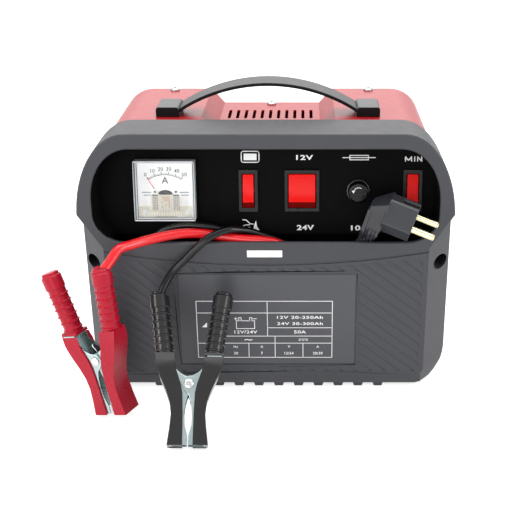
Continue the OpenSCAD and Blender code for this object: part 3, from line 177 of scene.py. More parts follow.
def fit_piece(piece: Piece, body: str, slot: str, *nodes: str) -> Piece:
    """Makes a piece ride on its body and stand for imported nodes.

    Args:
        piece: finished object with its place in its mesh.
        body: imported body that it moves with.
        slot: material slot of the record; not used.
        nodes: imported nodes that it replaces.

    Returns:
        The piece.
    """
    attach(piece, body)
    if nodes:
        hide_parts(*nodes)
    return report(piece)


# ---------------------------------------------------------------- finishes


DRIFT_MM = 22.0
GLOSS_PATCH_MM = 6.0
GLOSS_SPREAD = 0.05


@dataclass(frozen=True)
class Skin:
    """What a finish paints on: a material's tree, its Principled BSDF and the coordinates of its patterns."""

    tree: Tree
    shader: Node
    coords: Socket

    def fix(self, **values: Any) -> None:
        """Sets constants of the shader; the blanks of a socket's name are written as _."""
        for name, value in values.items():
            self.shader.inputs[name.replace("_", " ")].default_value = value

    def feed(self, name: str, pattern: Socket) -> None:
        """Links a pattern to one of the shader's sockets."""
        self.tree.links.new(pattern, self.shader.inputs[name])

    def noise(self, size_mm: float, detail: float = 3.0) -> Socket:
        """Returns a cloudy pattern whose patches are about size_mm across."""
        inputs = {"Vector": self.coords, "Scale": 1000 / size_mm, "Detail": detail}
        return add(self.tree, "ShaderNodeTexNoise", inputs).outputs["Fac"]

    def colour_by(self, pattern: Socket, low: Sequence[float], high: Sequence[float]) -> None:
        """Lets the colour run from low to high with a pattern."""
        mixed = add(self.tree, "ShaderNodeMix", {0: pattern, 6: low, 7: high}, data_type="RGBA")
        self.feed("Base Color", mixed.outputs[2])

    def soften_gloss(self, roughness: float) -> None:
        """Varies the roughness a little over the surface."""
        inputs = {
            "Value": self.noise(GLOSS_PATCH_MM),
            "To Min": max(0.02, roughness - GLOSS_SPREAD),
            "To Max": min(1.0, roughness + GLOSS_SPREAD),
        }
        self.feed("Roughness", add(self.tree, "ShaderNodeMapRange", inputs).outputs["Result"])

    def emboss(self, height: Socket, depth_mm: float) -> None:
        """Raises the surface by a pattern, depth_mm high."""
        inputs = {"Height": height, "Strength": 1.0, "Distance": depth_mm * MM}
        self.feed("Normal", add(self.tree, "ShaderNodeBump", inputs).outputs["Normal"])


@dataclass(frozen=True)
class Finish:
    """A surface: its colour, gloss and the scale of its texture. Sizes are in millimetres."""

    name: str = "finish"
    colour: str = "#808080"
    roughness: float = 0.5
    grain_mm: float = 0.8
    grain_depth_mm: float = 0.01
    mottle: float = 0.06
    specular: float = 0.5

    def material(self) -> bpy.types.Material:
        """Returns the finish's material, made once."""
        known = bpy.data.materials.get(self.name)
        if known:
            return known
        made = bpy.data.materials.new(self.name)
        made.use_nodes = True
        made.diffuse_color = linear(self.colour)
        tree = made.node_tree
        coords = add(tree, "ShaderNodeTexCoord").outputs["Object"]
        skin = Skin(tree, tree.nodes["Principled BSDF"], coords)
        skin.fix(Specular_IOR_Level=self.specular)
        self.paint(skin)
        return made

    def paint(self, skin: Skin) -> None:
        """Sets the shader's constants and links its patterns."""
        self.tint(skin, self.mottle)
        skin.soften_gloss(self.roughness)
        skin.emboss(skin.noise(self.grain_mm), self.grain_depth_mm)

    def tint(self, skin: Skin, amount: float) -> None:
        """Lets the colour drift a little, as batches and light dust make it do."""
        base = linear(self.colour)[:3]
        low = tuple(max(0.0, c * (1 - amount)) for c in base) + (1.0,)
        high = tuple(min(1.0, c * (1 + amount) + 0.002) for c in base) + (1.0,)
        skin.colour_by(skin.noise(DRIFT_MM, 4.0), low, high)


@dataclass(frozen=True)
class GrainedAbs(Finish):
    """Spark-grained ABS. Its fine leather-like grain turns highlights into a broad soft sheen."""

    name: str = "spark-grained grey ABS"
    colour: str = "#333439"
    roughness: float = 0.46
    grain_mm: float = 0.9
    grain_depth_mm: float = 0.028
    mottle: float = 0.05
    specular: float = 0.45


@dataclass(frozen=True)
class SatinAbs(Finish):
    """Smooth black ABS. It stays near black and only its edges catch the light."""

    name: str = "satin black ABS"
    colour: str = "#030304"
    roughness: float = 0.5
    grain_mm: float = 1.1
    grain_depth_mm: float = 0.008
    specular: float = 0.04


@dataclass(frozen=True)
class GlossNylon(Finish):
    """Injection-moulded black nylon. Tighter highlights than the panel round it."""

    name: str = "gloss black nylon"
    colour: str = "#08080a"
    roughness: float = 0.28
    grain_mm: float = 0.6
    grain_depth_mm: float = 0.004
    specular: float = 0.22


@dataclass(frozen=True)
class PowderCoat(Finish):
    """Smooth powder coat over folded steel. Slight orange peel under a glossy clear skin."""

    name: str = "red powder coat"
    colour: str = "#a5111a"
    roughness: float = 0.36
    grain_mm: float = 1.8
    grain_depth_mm: float = 0.014
    mottle: float = 0.04
    specular: float = 0.4
    coat: float = 0.1

    def paint(self, skin: Skin) -> None:
        """Adds the clear skin to the usual patterns."""
        super().paint(skin)
        skin.fix(Coat_Weight=self.coat, Coat_Roughness=0.16, Coat_IOR=1.5)


@dataclass(frozen=True)
class Metal(Finish):
    """Bare or plated metal with a drawn or rolled direction along one axis."""

    colour: str = "#b9bcc0"
    roughness: float = 0.32
    grain_mm: float = 0.35
    grain_depth_mm: float = 0.006
    stretch: tuple[float, float, float] = (0.06, 1.0, 1.0)
    stain: str = "#a8adb4"
    stain_mm: float = 9.0

    def paint(self, skin: Skin) -> None:
        """Draws the rolling lines and the plating's stains."""
        skin.fix(Metallic=1.0)
        stretched = add(skin.tree, "ShaderNodeMapping", {"Vector": skin.coords, "Scale": self.stretch})
        skin.colour_by(skin.noise(self.stain_mm), linear(self.colour), linear(self.stain))
        drawn = replace(skin, coords=stretched.outputs["Vector"])
        drawn.soften_gloss(self.roughness)
        drawn.emboss(drawn.noise(self.grain_mm, 2.0), self.grain_depth_mm)


@dataclass(frozen=True)
class ZincPlate(Metal):
    """Clear-passivated zinc on pressed steel. Cool grey with bluish and straw-coloured stains."""

    name: str = "clear-passivated zinc"
    colour: str = "#c3cecc"
    roughness: float = 0.27
    stain: str = "#84989b"
    stain_mm: float = 12.0


@dataclass(frozen=True)
class BrightWire(Metal):
    """Nickel-plated spring wire and rivets. Bright, with long clean highlights."""

    name: str = "nickel-plated steel"
    colour: str = "#d3d4d6"
    roughness: float = 0.2
    grain_depth_mm: float = 0.002
    stain: str = "#c4c4c2"


@dataclass(frozen=True)
class BlackOxide(Metal):
    """Blackened screw steel. Dark, with a dull oily shine."""

    name: str = "black oxide steel"
    colour: str = "#1b1b1c"
    roughness: float = 0.38
    stain: str = "#242322"


@dataclass(frozen=True)
class TurnedBrass(Metal):
    """Turned brass of plug pins and meter parts. Warm yellow with fine turning lines."""

    name: str = "turned brass"
    colour: str = "#dcc07a"
    roughness: float = 0.22
    grain_mm: float = 0.3
    stretch: tuple[float, float, float] = (1.0, 0.3, 0.3)
    stain: str = "#cbaa5e"


@dataclass(frozen=True)
class NickelBrass(TurnedBrass):
    """Nickel-washed brass of plug pins. Creamy silver, a touch warmer than steel."""

    name: str = "nickel-washed brass"
    colour: str = "#dcd5b6"
    stain: str = "#cbc39c"


@dataclass(frozen=True)
class ExtrudedAluminium(Metal):
    """Mill-finish extruded aluminium. Pale, with die lines along its length."""

    name: str = "extruded aluminium"
    colour: str = "#c9cbcd"
    roughness: float = 0.36
    grain_mm: float = 0.5
    stretch: tuple[float, float, float] = (1.0, 0.04, 1.0)
    stain: str = "#bfc1c4"


@dataclass(frozen=True)
class LaminatedSteel(Metal):
    """Varnished stack of transformer sheets. The eye sees its thin dark lines edge on."""

    name: str = "laminated silicon steel"
    colour: str = "#6b6e73"
    roughness: float = 0.45
    stain: str = "#5a5552"
    sheet_mm: float = 1.0
    sheet_depth_mm: float = 0.12

    def paint(self, skin: Skin) -> None:
        """Rules the stack's lines across its depth, at twice the real pitch of 0.5 mm so that they show."""
        super().paint(skin)
        inputs = {"Vector": skin.coords, "Scale": 1000 / self.sheet_mm / 6.283, "Distortion": 0.0}
        ruled = add(skin.tree, "ShaderNodeTexWave", inputs, bands_direction="Y")
        skin.emboss(ruled.outputs["Fac"], self.sheet_depth_mm)


@dataclass(frozen=True)
class BlackRubber(Finish):
    """Matt moulded rubber of feet, liners and boots. Hardly any highlight."""

    name: str = "matt black rubber"
    colour: str = "#151516"
    roughness: float = 0.68
    grain_mm: float = 0.7
    grain_depth_mm: float = 0.03


@dataclass(frozen=True)
class StrapVinyl(Finish):
    """Flexible dark grey vinyl of the carrying strap. Broad satin shine along its top."""

    name: str = "dark grey strap vinyl"
    colour: str = "#252629"
    roughness: float = 0.4
    grain_mm: float = 0.8
    grain_depth_mm: float = 0.015
    specular: float = 0.36


@dataclass(frozen=True)
class Nylon(Finish):
    """Natural nylon of bobbins and blocks. Creamy, waxy and slightly translucent."""

    name: str = "natural nylon"
    colour: str = "#e4dcc6"
    roughness: float = 0.42
    grain_mm: float = 1.5
    grain_depth_mm: float = 0.01

    def paint(self, skin: Skin) -> None:
        """Adds a little light under the skin."""
        super().paint(skin)
        skin.fix(Subsurface_Weight=0.15, Subsurface_Radius=(0.003, 0.0025, 0.002))


@dataclass(frozen=True)
class EnamelledCopper(Metal):
    """Enamelled winding wire. Red-brown lacquer over copper, with a bright line on each turn."""

    name: str = "enamelled copper"
    colour: str = "#a5532c"
    roughness: float = 0.28
    stain: str = "#8a3f22"
    stretch: tuple[float, float, float] = (0.2, 0.2, 1.0)


@dataclass(frozen=True)
class CableSheath(Finish):
    """Smooth extruded PVC over stranded copper. Long soft highlights, faintly wavy over the strands."""

    name: str = "cable sheath"
    roughness: float = 0.33
    grain_mm: float = 5.0
    grain_depth_mm: float = 0.05
    mottle: float = 0.05


@dataclass(frozen=True)
class ClampVinyl(Finish):
    """Dip-moulded vinyl of the clamp grips. Rubbery gloss with a slightly uneven skin."""

    name: str = "clamp vinyl"
    roughness: float = 0.28
    grain_mm: float = 2.4
    grain_depth_mm: float = 0.016
    mottle: float = 0.06
    specular: float = 0.5


@dataclass(frozen=True)
class PlugVinyl(Finish):
    """Over-moulded PVC of the mains plug. Dark grey with a dull even sheen."""

    name: str = "moulded plug vinyl"
    colour: str = "#2a2b30"
    roughness: float = 0.36
    grain_mm: float = 0.9
    grain_depth_mm: float = 0.014


@dataclass(frozen=True)
class RockerRed(Finish):
    """Glossy translucent red polycarbonate. The colour glows and one clean highlight runs over it."""

    name: str = "translucent red polycarbonate"
    colour: str = "#ec0b05"
    roughness: float = 0.25
    grain_depth_mm: float = 0.002
    mottle: float = 0.02
    specular: float = 0.14

    def paint(self, skin: Skin) -> None:
        """Adds light under the surface."""
        super().paint(skin)
        skin.fix(Subsurface_Weight=0.25, Subsurface_Radius=(0.002, 0.0004, 0.0003))


@dataclass(frozen=True)
class DialPaint(Finish):
    """Matt white paint on a tin dial. Even and bright, with the faintest mottle."""

    name: str = "matt white dial paint"
    colour: str = "#fbfdfc"
    roughness: float = 0.6
    grain_mm: float = 0.5
    grain_depth_mm: float = 0.003
    mottle: float = 0.02


@dataclass(frozen=True)
class PrintingInk(Finish):
    """Screen-printed ink. Flat colour with slightly ragged density."""

    name: str = "white printing ink"
    colour: str = "#f8f9f9"
    roughness: float = 0.5
    grain_mm: float = 0.4
    grain_depth_mm: float = 0.004
    mottle: float = 0.05


@dataclass(frozen=True)
class LabelFilm(Finish):
    """Dark polyester label. Smoother than the grained wall that it is stuck on."""

    name: str = "dark polyester label"
    colour: str = "#3f4045"
    roughness: float = 0.4
    grain_mm: float = 3.0
    grain_depth_mm: float = 0.006
    mottle: float = 0.04


@dataclass(frozen=True)
class ClearStyrene(Finish):
    """Clear polystyrene window. Nearly invisible face on, with a faint haze and a clean shine."""

    name: str = "clear polystyrene"
    colour: str = "#eef4f7"
    roughness: float = 0.06
    cover: float = 0.06

    def paint(self, skin: Skin) -> None:
        """Lets most light straight through, also onto the dial, and adds faint moulding haze."""
        skin.soften_gloss(self.roughness)
        self.tint(skin, 0.01)
        skin.fix(Alpha=self.cover)


@dataclass(frozen=True)
class LensEdgeHighlight(ClearStyrene):
    """Edge of the clear cover, painted pale silvery grey as a highlight for the light that it gathers."""

    name: str = "painted highlight on lens edge"
    colour: str = "#eef2f5"
    roughness: float = 0.14
    cover: float = 0.86


@dataclass(frozen=True)
class RibHighlightStyrene(ClearStyrene):
    """Ribs moulded in the cover's lower window, painted half-opaque cream as a highlight: bright lines across
    what lies behind.
    """

    name: str = "clear ribs with painted highlight"
    colour: str = "#f6f3e6"
    roughness: float = 0.2
    cover: float = 0.5


@dataclass(frozen=True)
class NeedlePaint(Finish):
    """A meter needle of bare aluminium whose outer part is painted red, so that only its tip reads."""

    name: str = "red-tipped aluminium"
    colour: str = "#e6e3dc"
    roughness: float = 0.4
    grain_mm: float = 0.4
    grain_depth_mm: float = 0.003
    tip: str = "#d02436"
    bare_mm: float = 14.0
    pivot: Point = (-73.4, -59.7, 143.1)

    def paint(self, skin: Skin) -> None:
        """Paints what lies farther from the pivot than the bare part."""
        pivot = tuple(c * MM for c in self.pivot)
        away = add(skin.tree, "ShaderNodeVectorMath", {0: skin.coords, 1: pivot}, operation="DISTANCE")
        painted = number(skin.tree, "GREATER_THAN", away.outputs["Value"], self.bare_mm * MM)
        skin.colour_by(painted, linear(self.colour), linear(self.tip))
        skin.soften_gloss(self.roughness)


DIAL_INK = PrintingInk("black printing ink", "#17181a")
# Darker red for the rockers' downward faces: painted shade.
ROCKER_SHADE = RockerRed("painted shade red polycarbonate", "#6a0100", 0.3, specular=0.05)
WHITE_INK = PrintingInk()
STICKER_PAPER = PrintingInk("white sticker paper", "#e9e9e6", 0.62, 0.5, 0.006, 0.03)
RED_WIRE = CableSheath("red wire insulation", "#a8281c", 0.4, 3.0)
CARD_BLACK = Finish("black card", "#0b0b0b", 0.7, 0.4, 0.01, 0.05, 0.2)
CREAM_CARD = Finish("cream card", "#e6e2cf", 0.6, 0.5, 0.005, 0.04)
YOKE_STEEL = Finish("dark yoke lacquer", "#2b2724", 0.5, 0.6, 0.01, 0.1)
COIL_LACQUER = Finish("golden coil lacquer", "#d07e08", 0.4, 0.6, 0.01, 0.1)
# Near-black for the inner walls of the recesses: painted shade.
RECESS_PAINTED_SHADE = SatinAbs("painted shade on recess walls", "#060607", 0.6, 1.1, 0.01, 0.05, 0.08)
# Near-black for the sides and undersides of the strap and its blocks: painted shade.
STRAP_PAINTED_SHADE = SatinAbs("painted shade on strap and block sides", "#070708", 0.5, 1.1, 0.01, 0.05, 0.15)
PAINTED_REAR = PowderCoat("dark red powder coat", "#a5111b")

NODE_FINISHES: dict[str, Finish] = {
    "transformer_core": LaminatedSteel(),
    "winding_bobbin": Nylon(),
    "transformer_bolts": ZincPlate(),
    "rectifier_diodes": BrightWire(),
    "thermal_cutout": Nylon("brown phenolic", "#7a4a2c"),
    "terminal_block": Nylon(),
    "inner_wires": RED_WIRE,
    "ammeter_movement": TurnedBrass(),
    "ammeter_dial": DialPaint(),
    "ammeter_needle": NeedlePaint(),
    "fuse_link": BrightWire("nickel fuse caps", "#cfd0d2"),
}


# ---------------------------------------------------------------- shapes


@dataclass(frozen=True)
class Softening:
    """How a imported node's sharp edges are rounded."""

    width_mm: float = 0.4
    segments: int = 2
    sharp_deg: float = 34.0
    wide_mm: float = 0.0
    is_wide: Callable[[Edge], bool] | None = None


def softened(node: str, finish: Finish, how: Softening = Softening(), suffix: str = "finished") -> Piece:
    """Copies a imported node, joins its loose triangles and rounds its sharp edges.

    Args:
        node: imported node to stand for.
        finish: its surface.
        how: the width of the rounding, and which edges get a wider one.
        suffix: end of the new piece's name.

    Returns:
        The new piece, riding on the node's body in its place.
    """
    mesh = FRAME["nodes"][node].data.copy()
    shape = bmesh.new()
    shape.from_mesh(mesh)
    bmesh.ops.remove_doubles(shape, verts=shape.verts, dist=2e-6)
    weights = shape.edges.layers.float.new("bevel_weight_edge")
    widest = max(how.width_mm, how.wide_mm)
    for edge in shape.edges:
        turn = edge.calc_face_angle(0.0)
        edge.smooth = turn < math.radians(24)
        if turn > math.radians(how.sharp_deg):
            wide = how.is_wide is not None and how.is_wide(edge)
            edge[weights] = (how.wide_mm if wide else how.width_mm) / widest
    for face in shape.faces:
        face.smooth = True
    shape.to_mesh(mesh)
    shape.free()
    mesh.materials.clear()
    mesh.materials.append(finish.material())
    piece = link_object(f"{node}_{suffix}", mesh)
    bevel = piece.modifiers.new("rounding", "BEVEL")
    bevel.limit_method = "WEIGHT"
    bevel.width = widest * MM
    bevel.segments = how.segments
    bevel.use_clamp_overlap = False
    bevel.miter_outer = "MITER_ARC"
    level = piece.modifiers.new("level faces", "WEIGHTED_NORMAL")
    level.mode = "FACE_AREA"
    level.weight = 100
    level.keep_sharp = True
    return fit_piece(plain_mesh(piece), body_of_node(node), slot_of_node(node), node)


def paint_faces(
    piece: Piece, finish: Finish, chosen: Callable[[Face], bool]
) -> Piece:
    """Gives the chosen faces of a piece a finish of their own.

    Args:
        piece: the piece, with its main finish in its first slot.
        finish: the finish of the chosen faces.
        chosen: tells whether a face gets it.

    Returns:
        The piece.
    """
    piece.data.materials.append(finish.material())
    last = len(piece.data.materials) - 1
    for face in piece.data.polygons:
        if chosen(face):
            face.material_index = last
    return piece


def dress_node(node: str, finish: Finish) -> None:
    """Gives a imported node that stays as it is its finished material."""
    packed = FRAME["nodes"][node]
    if not packed.material_slots:
        packed.data.materials.append(finish.material())
    for slot in packed.material_slots:
        slot.material = finish.material()
    LOG.info("%s dressed in %s", node, finish.name)


@dataclass(frozen=True)
class Plane:
    """A flat place on the object. Local X and Y lie on it in millimetres, Z points out of it."""

    origin: Vector
    right: Vector
    up: Vector

    def matrix(self, x: float = 0.0, y: float = 0.0, lift: float = 0.0) -> Matrix:
        """Returns the matrix that lays local millimetres at a place on the plane."""
        out = self.right.cross(self.up)
        spot = self.origin + self.right * x + self.up * y + out * lift
        turn = Matrix((self.right, self.up, out)).transposed().to_4x4()
        return Matrix.Scale(MM, 4) @ Matrix.Translation(spot) @ turn


CASE_DEPTH = 158.0
FRONT_Y = -CASE_DEPTH / 2
PANEL_TILT = math.radians(8)
WALL = Plane(Vector((0, FRONT_Y, 0)), Vector((1, 0, 0)), Vector((0, 0, 1)))
PANEL = Plane(
    Vector((0, FRONT_Y + 28, 148)), Vector((1, 0, 0)), Vector((0, math.sin(PANEL_TILT), math.cos(PANEL_TILT)))
)


class Artwork:
    """Flat printing gathered in one mesh: bars, strokes, discs and generic characters, in millimetres."""

    def __init__(self, plane: Plane, lift: float, bold: float = 0.01) -> None:
        """Starts an empty print.

        Args:
            plane: the plane that it lies on.
            lift: how far above the plane, in millimetres.
            bold: how much the characters' strokes grow, as a share of their height.
        """
        self.place = plane.matrix(lift=lift)
        self.bold = bold
        self.shape = bmesh.new()

    def polygon(self, points: Sequence[Point]) -> None:
        """Adds a filled outline; its points go anticlockwise."""
        self.shape.faces.new([self.shape.verts.new((x, y, 0)) for x, y in points])

    def bar(self, x0: float, y0: float, x1: float, y1: float) -> None:
        """Adds a filled rectangle."""
        self.polygon([(x0, y0), (x1, y0), (x1, y1), (x0, y1)])

    def box(self, x0: float, y0: float, x1: float, y1: float, width: float) -> None:
        """Adds a rectangle's outline."""
        self.bar(x0, y0, x1, y0 + width)
        self.bar(x0, y1 - width, x1, y1)
        self.bar(x0, y0 + width, x0 + width, y1 - width)
        self.bar(x1 - width, y0 + width, x1, y1 - width)

    def disc(self, x: float, y: float, radius: float, hole: float = 0.0, sides: int = 24) -> None:
        """Adds a disc or a ring."""
        turns = [2 * math.pi * i / sides for i in range(sides)]
        rim = [polar(x, y, radius, turn) for turn in turns]
        if hole <= 0:
            self.polygon(rim)
            return
        edge = [polar(x, y, hole, turn) for turn in turns]
        for here, there in zip(range(sides), [*range(1, sides), 0]):
            self.polygon([edge[here], rim[here], rim[there], edge[there]])

    def stroke(self, points: Sequence[Point], width: float) -> None:
        """Adds a line of the given width along points, with round joints."""
        for (x0, y0), (x1, y1) in zip(points, points[1:]):
            along = Vector((x1 - x0, y1 - y0)).normalized()
            side = Vector((along.y, -along.x)) * width / 2
            ends = ((x0, y0, 1), (x1, y1, 1), (x1, y1, -1), (x0, y0, -1))
            self.polygon([(x + way * side.x, y + way * side.y) for x, y, way in ends])
        for x, y in points[1:-1]:
            self.disc(x, y, width / 2, sides=10)

    def text(self, characters: str, x: float, y: float, height: float, width: float = 0.0) -> None:
        """Adds generic characters with their middle at x, y.

        Args:
            characters: what is printed.
            x: middle across.
            y: middle upwards.
            height: height of a capital.
            width: whole width, or 0 to keep the letters' own.
        """
        curve = bpy.data.curves.new("characters", "FONT")
        curve.body = characters
        curve.offset = self.bold
        curve.space_character = 1.08
        curve.resolution_u = 3
        writer = link_object("characters", curve)
        flat = evaluated_mesh(writer)
        spots = [v.co for v in flat.vertices]
        low = Vector((min(p.x for p in spots), min(p.y for p in spots)))
        size = Vector((max(p.x for p in spots), max(p.y for p in spots))) - low
        scale_y = height / size.y
        scale_x = width / size.x if width else scale_y
        for vertex in flat.vertices:
            across = x + (vertex.co.x - low.x - size.x / 2) * scale_x
            vertex.co = (across, y + (vertex.co.y - low.y) * scale_y - height / 2, 0)
        self.shape.from_mesh(flat)
        bpy.data.objects.remove(writer)
        bpy.data.curves.remove(curve)
        bpy.data.meshes.remove(flat)

    def done(self, name: str, ink: Finish, slot: str, body: str = Body.HOUSING.value) -> Piece:
        """Turns the print into a piece.

        Args:
            name: the piece's name.
            ink: its finish.
            slot: material slot of the record.
            body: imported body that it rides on.

        Returns:
            The finished print.
        """
        mesh = bpy.data.meshes.new(name)
        self.shape.to_mesh(mesh)
        self.shape.free()
        mesh.transform(self.place)
        mesh.materials.append(ink.material())
        return fit_piece(link_object(name, mesh), body, slot)


def number(tree: Tree, operation: str, *values: Any) -> Socket:
    """Returns the result of a Math node over values or sockets."""
    return add(tree, "ShaderNodeMath", dict(enumerate(values)), operation=operation).outputs[0]


def vector(tree: Tree, x: Any = 0.0, y: Any = 0.0, z: Any = 0.0) -> Socket:
    """Returns a vector of three values or sockets."""
    return add(tree, "ShaderNodeCombineXYZ", {0: x, 1: y, 2: z}).outputs[0]


def row(tree: Tree, count: Socket, **places: Socket) -> Socket:
    """Returns the points of a straight row; places can give its Start Location and Offset."""
    return add(tree, "GeometryNodeMeshLine", {"Count": count, **places}, mode="OFFSET").outputs["Mesh"]


def block(tree: Tree, x: Any, y: Any, z: Any) -> Socket:
    """Returns a rectangular bar with its middle at the origin."""
    return add(tree, "GeometryNodeMeshCube", {"Size": vector(tree, x, y, z)}).outputs["Mesh"]


def copies(tree: Tree, points: Socket, shape: Socket, **more: Socket) -> Socket:
    """Returns a copy of a shape on each point; more can give its Rotation."""
    return add(tree, "GeometryNodeInstanceOnPoints", {"Points": points, "Instance": shape, **more}).outputs[0]


@dataclass(frozen=True)
class Grower:
    """A Geometry Nodes tree with named sizes in millimetres, turned into a plain mesh."""

    def sizes(self) -> dict[str, float | int]:
        """Returns the tree's inputs by name."""
        return {size.name: getattr(self, size.name) for size in fields(self)}

    def shape(self, tree: Tree, sizes: dict[str, Socket]) -> Socket:
        """Adds the tree's nodes and returns the geometry of all its instances."""
        raise NotImplementedError

    def grow(self, name: str, finish: Finish, place: Matrix, slot: str, *nodes: str) -> Piece:
        """Runs the tree and lays the result at a place on the housing.

        Args:
            name: the piece's name.
            finish: its surface, set by the tree's last node.
            place: matrix from local millimetres to the object's frame.
            slot: material slot of the record.
            nodes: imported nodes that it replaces.

        Returns:
            The finished piece.
        """
        tree = bpy.data.node_groups.new(type(self).__name__, "GeometryNodeTree")
        tree.interface.new_socket("Geometry", in_out="OUTPUT", socket_type="NodeSocketGeometry")
        values = self.sizes()
        for key, value in values.items():
            kind = "NodeSocketInt" if isinstance(value, int) else "NodeSocketFloat"
            tree.interface.new_socket(key, in_out="INPUT", socket_type=kind)
        tree.interface.new_socket("Finish", in_out="INPUT", socket_type="NodeSocketMaterial")
        entry = add(tree, "NodeGroupInput")
        whole = self.shape(tree, {key: entry.outputs[key] for key in values})
        real = add(tree, "GeometryNodeRealizeInstances", {"Geometry": whole}).outputs[0]
        inputs = {"Geometry": real, "Material": entry.outputs["Finish"]}
        dressed = add(tree, "GeometryNodeSetMaterial", inputs)
        add(tree, "NodeGroupOutput", {"Geometry": dressed.outputs[0]})
        piece = link_object(name, bpy.data.meshes.new(name))
        modifier = piece.modifiers.new("grow", "NODES")
        modifier.node_group = tree
        sockets = {s.name: s.identifier for s in tree.interface.items_tree if s.in_out == "INPUT"}
        for key, value in (*values.items(), ("Finish", finish.material())):
            modifier[sockets[key]] = value
        plain_mesh(piece)
        piece.data.transform(place)
        return fit_piece(piece, Body.HOUSING.value, slot, *nodes)


@dataclass(frozen=True)
class BarRow(Grower):
    """A row of equal bars: they lie along local Y and step along local X."""

    count: int
    pitch: float
    length: float
    width: float
    height: float

    def shape(self, tree: Tree, sizes: dict[str, Socket]) -> Socket:
        """Puts a bar on each point of a line that is centred on the place."""
        gaps = number(tree, "SUBTRACT", sizes["count"], 1.0)
        start = number(tree, "MULTIPLY", number(tree, "MULTIPLY", gaps, sizes["pitch"]), -0.5)
        places = {"Start Location": vector(tree, start), "Offset": vector(tree, sizes["pitch"])}
        bar = block(tree, sizes["width"], sizes["length"], sizes["height"])
        return copies(tree, row(tree, sizes["count"], **places), bar)


@dataclass(frozen=True)
class TickArc(Grower):
    """The divisions of a round scale: bars that point at the scale's centre. The sweep is in degrees."""

    count: int
    radius: float
    sweep: float
    length: float
    width: float

    def sizes(self) -> dict[str, float | int]:
        """Returns the scale's sizes, with its sweep in radians."""
        return {**super().sizes(), "sweep": math.radians(self.sweep)}

    def shape(self, tree: Tree, sizes: dict[str, Socket]) -> Socket:
        """Puts a bar at each end and division of an arc that is centred on upright."""
        start = number(tree, "SUBTRACT", math.pi / 2, number(tree, "MULTIPLY", sizes["sweep"], 0.5))
        line = row(tree, sizes["count"])
        order = add(tree, "GeometryNodeInputIndex").outputs[0]
        step = number(tree, "DIVIDE", sizes["sweep"], number(tree, "SUBTRACT", sizes["count"], 1.0))
        turn = number(tree, "ADD", start, number(tree, "MULTIPLY", order, step))
        legs = [number(tree, leg, turn) for leg in ("COSINE", "SINE")]
        legs = [number(tree, "MULTIPLY", leg, sizes["radius"]) for leg in legs]
        inputs = {"Geometry": line, "Position": vector(tree, *legs)}
        placed = add(tree, "GeometryNodeSetPosition", inputs).outputs[0]
        bar = block(tree, sizes["length"], sizes["width"], 0.06)
        return copies(tree, placed, bar, Rotation=vector(tree, 0.0, 0.0, turn))


@dataclass(frozen=True)
class WireTurns(Grower):
    """Turns of round wire stacked along local Z round a rectangular former with round corners."""

    turns: int
    wire: float
    across: float
    deep: float
    corner: float

    def shape(self, tree: Tree, sizes: dict[str, Socket]) -> Socket:
        """Sweeps the wire round the former once and stacks that turn."""
        inputs = {"Width": sizes["across"], "Height": sizes["deep"]}
        former = add(tree, "GeometryNodeCurvePrimitiveQuadrilateral", inputs).outputs[0]
        inputs = {"Curve": former, "Radius": sizes["corner"], "Count": 5}
        path = add(tree, "GeometryNodeFilletCurve", inputs, mode="POLY").outputs[0]
        inputs = {"Resolution": 8, "Radius": number(tree, "MULTIPLY", sizes["wire"], 0.5)}
        wire = add(tree, "GeometryNodeCurvePrimitiveCircle", inputs).outputs[0]
        turn = add(tree, "GeometryNodeCurveToMesh", {"Curve": path, "Profile Curve": wire}).outputs[0]
        smooth = add(tree, "GeometryNodeSetShadeSmooth", {0: turn}).outputs[0]
        step = vector(tree, 0.0, 0.0, sizes["wire"])
        return copies(tree, row(tree, sizes["turns"], Offset=step), smooth)


def between(p: Vector, q: Vector, start: float, end: float, t: float) -> Vector:
    """Returns the point of the straight line from p at start to q at end, at t."""
    return p * ((end - t) / (end - start)) + q * ((t - start) / (end - start))


def smooth_route(points: Sequence[Point], step_mm: float = 2.0) -> list[Vector]:
    """Runs one smooth line through given points.

    Args:
        points: the route in millimetres, depths counted from the front wall.
        step_mm: rough spacing of the line's own points.

    Returns:
        Points in metres in the object's frame.
    """
    spots = [Vector((x, y + FRONT_Y, z)) for x, y, z in points]
    ends = [spots[0] * 2 - spots[1], *spots, spots[-1] * 2 - spots[-2]]
    line: list[Vector] = []
    for p0, p1, p2, p3 in zip(ends, ends[1:], ends[2:], ends[3:]):
        knots = [0.0]
        for a, b in ((p0, p1), (p1, p2), (p2, p3)):
            knots.append(knots[-1] + max((b - a).length, 1e-4) ** 0.5)
        t0, t1, t2, t3 = knots
        pieces = max(2, round((p2 - p1).length / step_mm))
        for i in range(pieces):
            t = t1 + (t2 - t1) * i / pieces
            middle = between(p1, p2, t1, t2, t)
            first = between(between(p0, p1, t0, t1, t), middle, t0, t2, t)
            last = between(middle, between(p2, p3, t2, t3, t), t1, t3, t)
            line.append(between(first, last, t1, t2, t) * MM)
    line.append(spots[-1] * MM)
    return line


def round_bar(name: str, line: Sequence[Vector], diameter: float, finish: Finish) -> Piece:
    """Makes a round bar or cord along a line, as a curve of one open spline.

    Args:
        name: the piece's name.
        line: its centreline in metres.
        diameter: in metres.
        finish: its surface.

    Returns:
        The curve object.
    """
    curve = bpy.data.curves.new(name, "CURVE")
    curve.dimensions = "3D"
    curve.bevel_depth = diameter / 2
    curve.bevel_resolution = 5
    curve.use_fill_caps = True
    spline = curve.splines.new("POLY")
    spline.points.add(len(line) - 1)
    for spot, place in zip(spline.points, line):
        spot.co = (*place, 1.0)
    spline.use_smooth = True
    curve.materials.append(finish.material())
    return link_object(name, curve)


# ---------------------------------------------------------------- leads


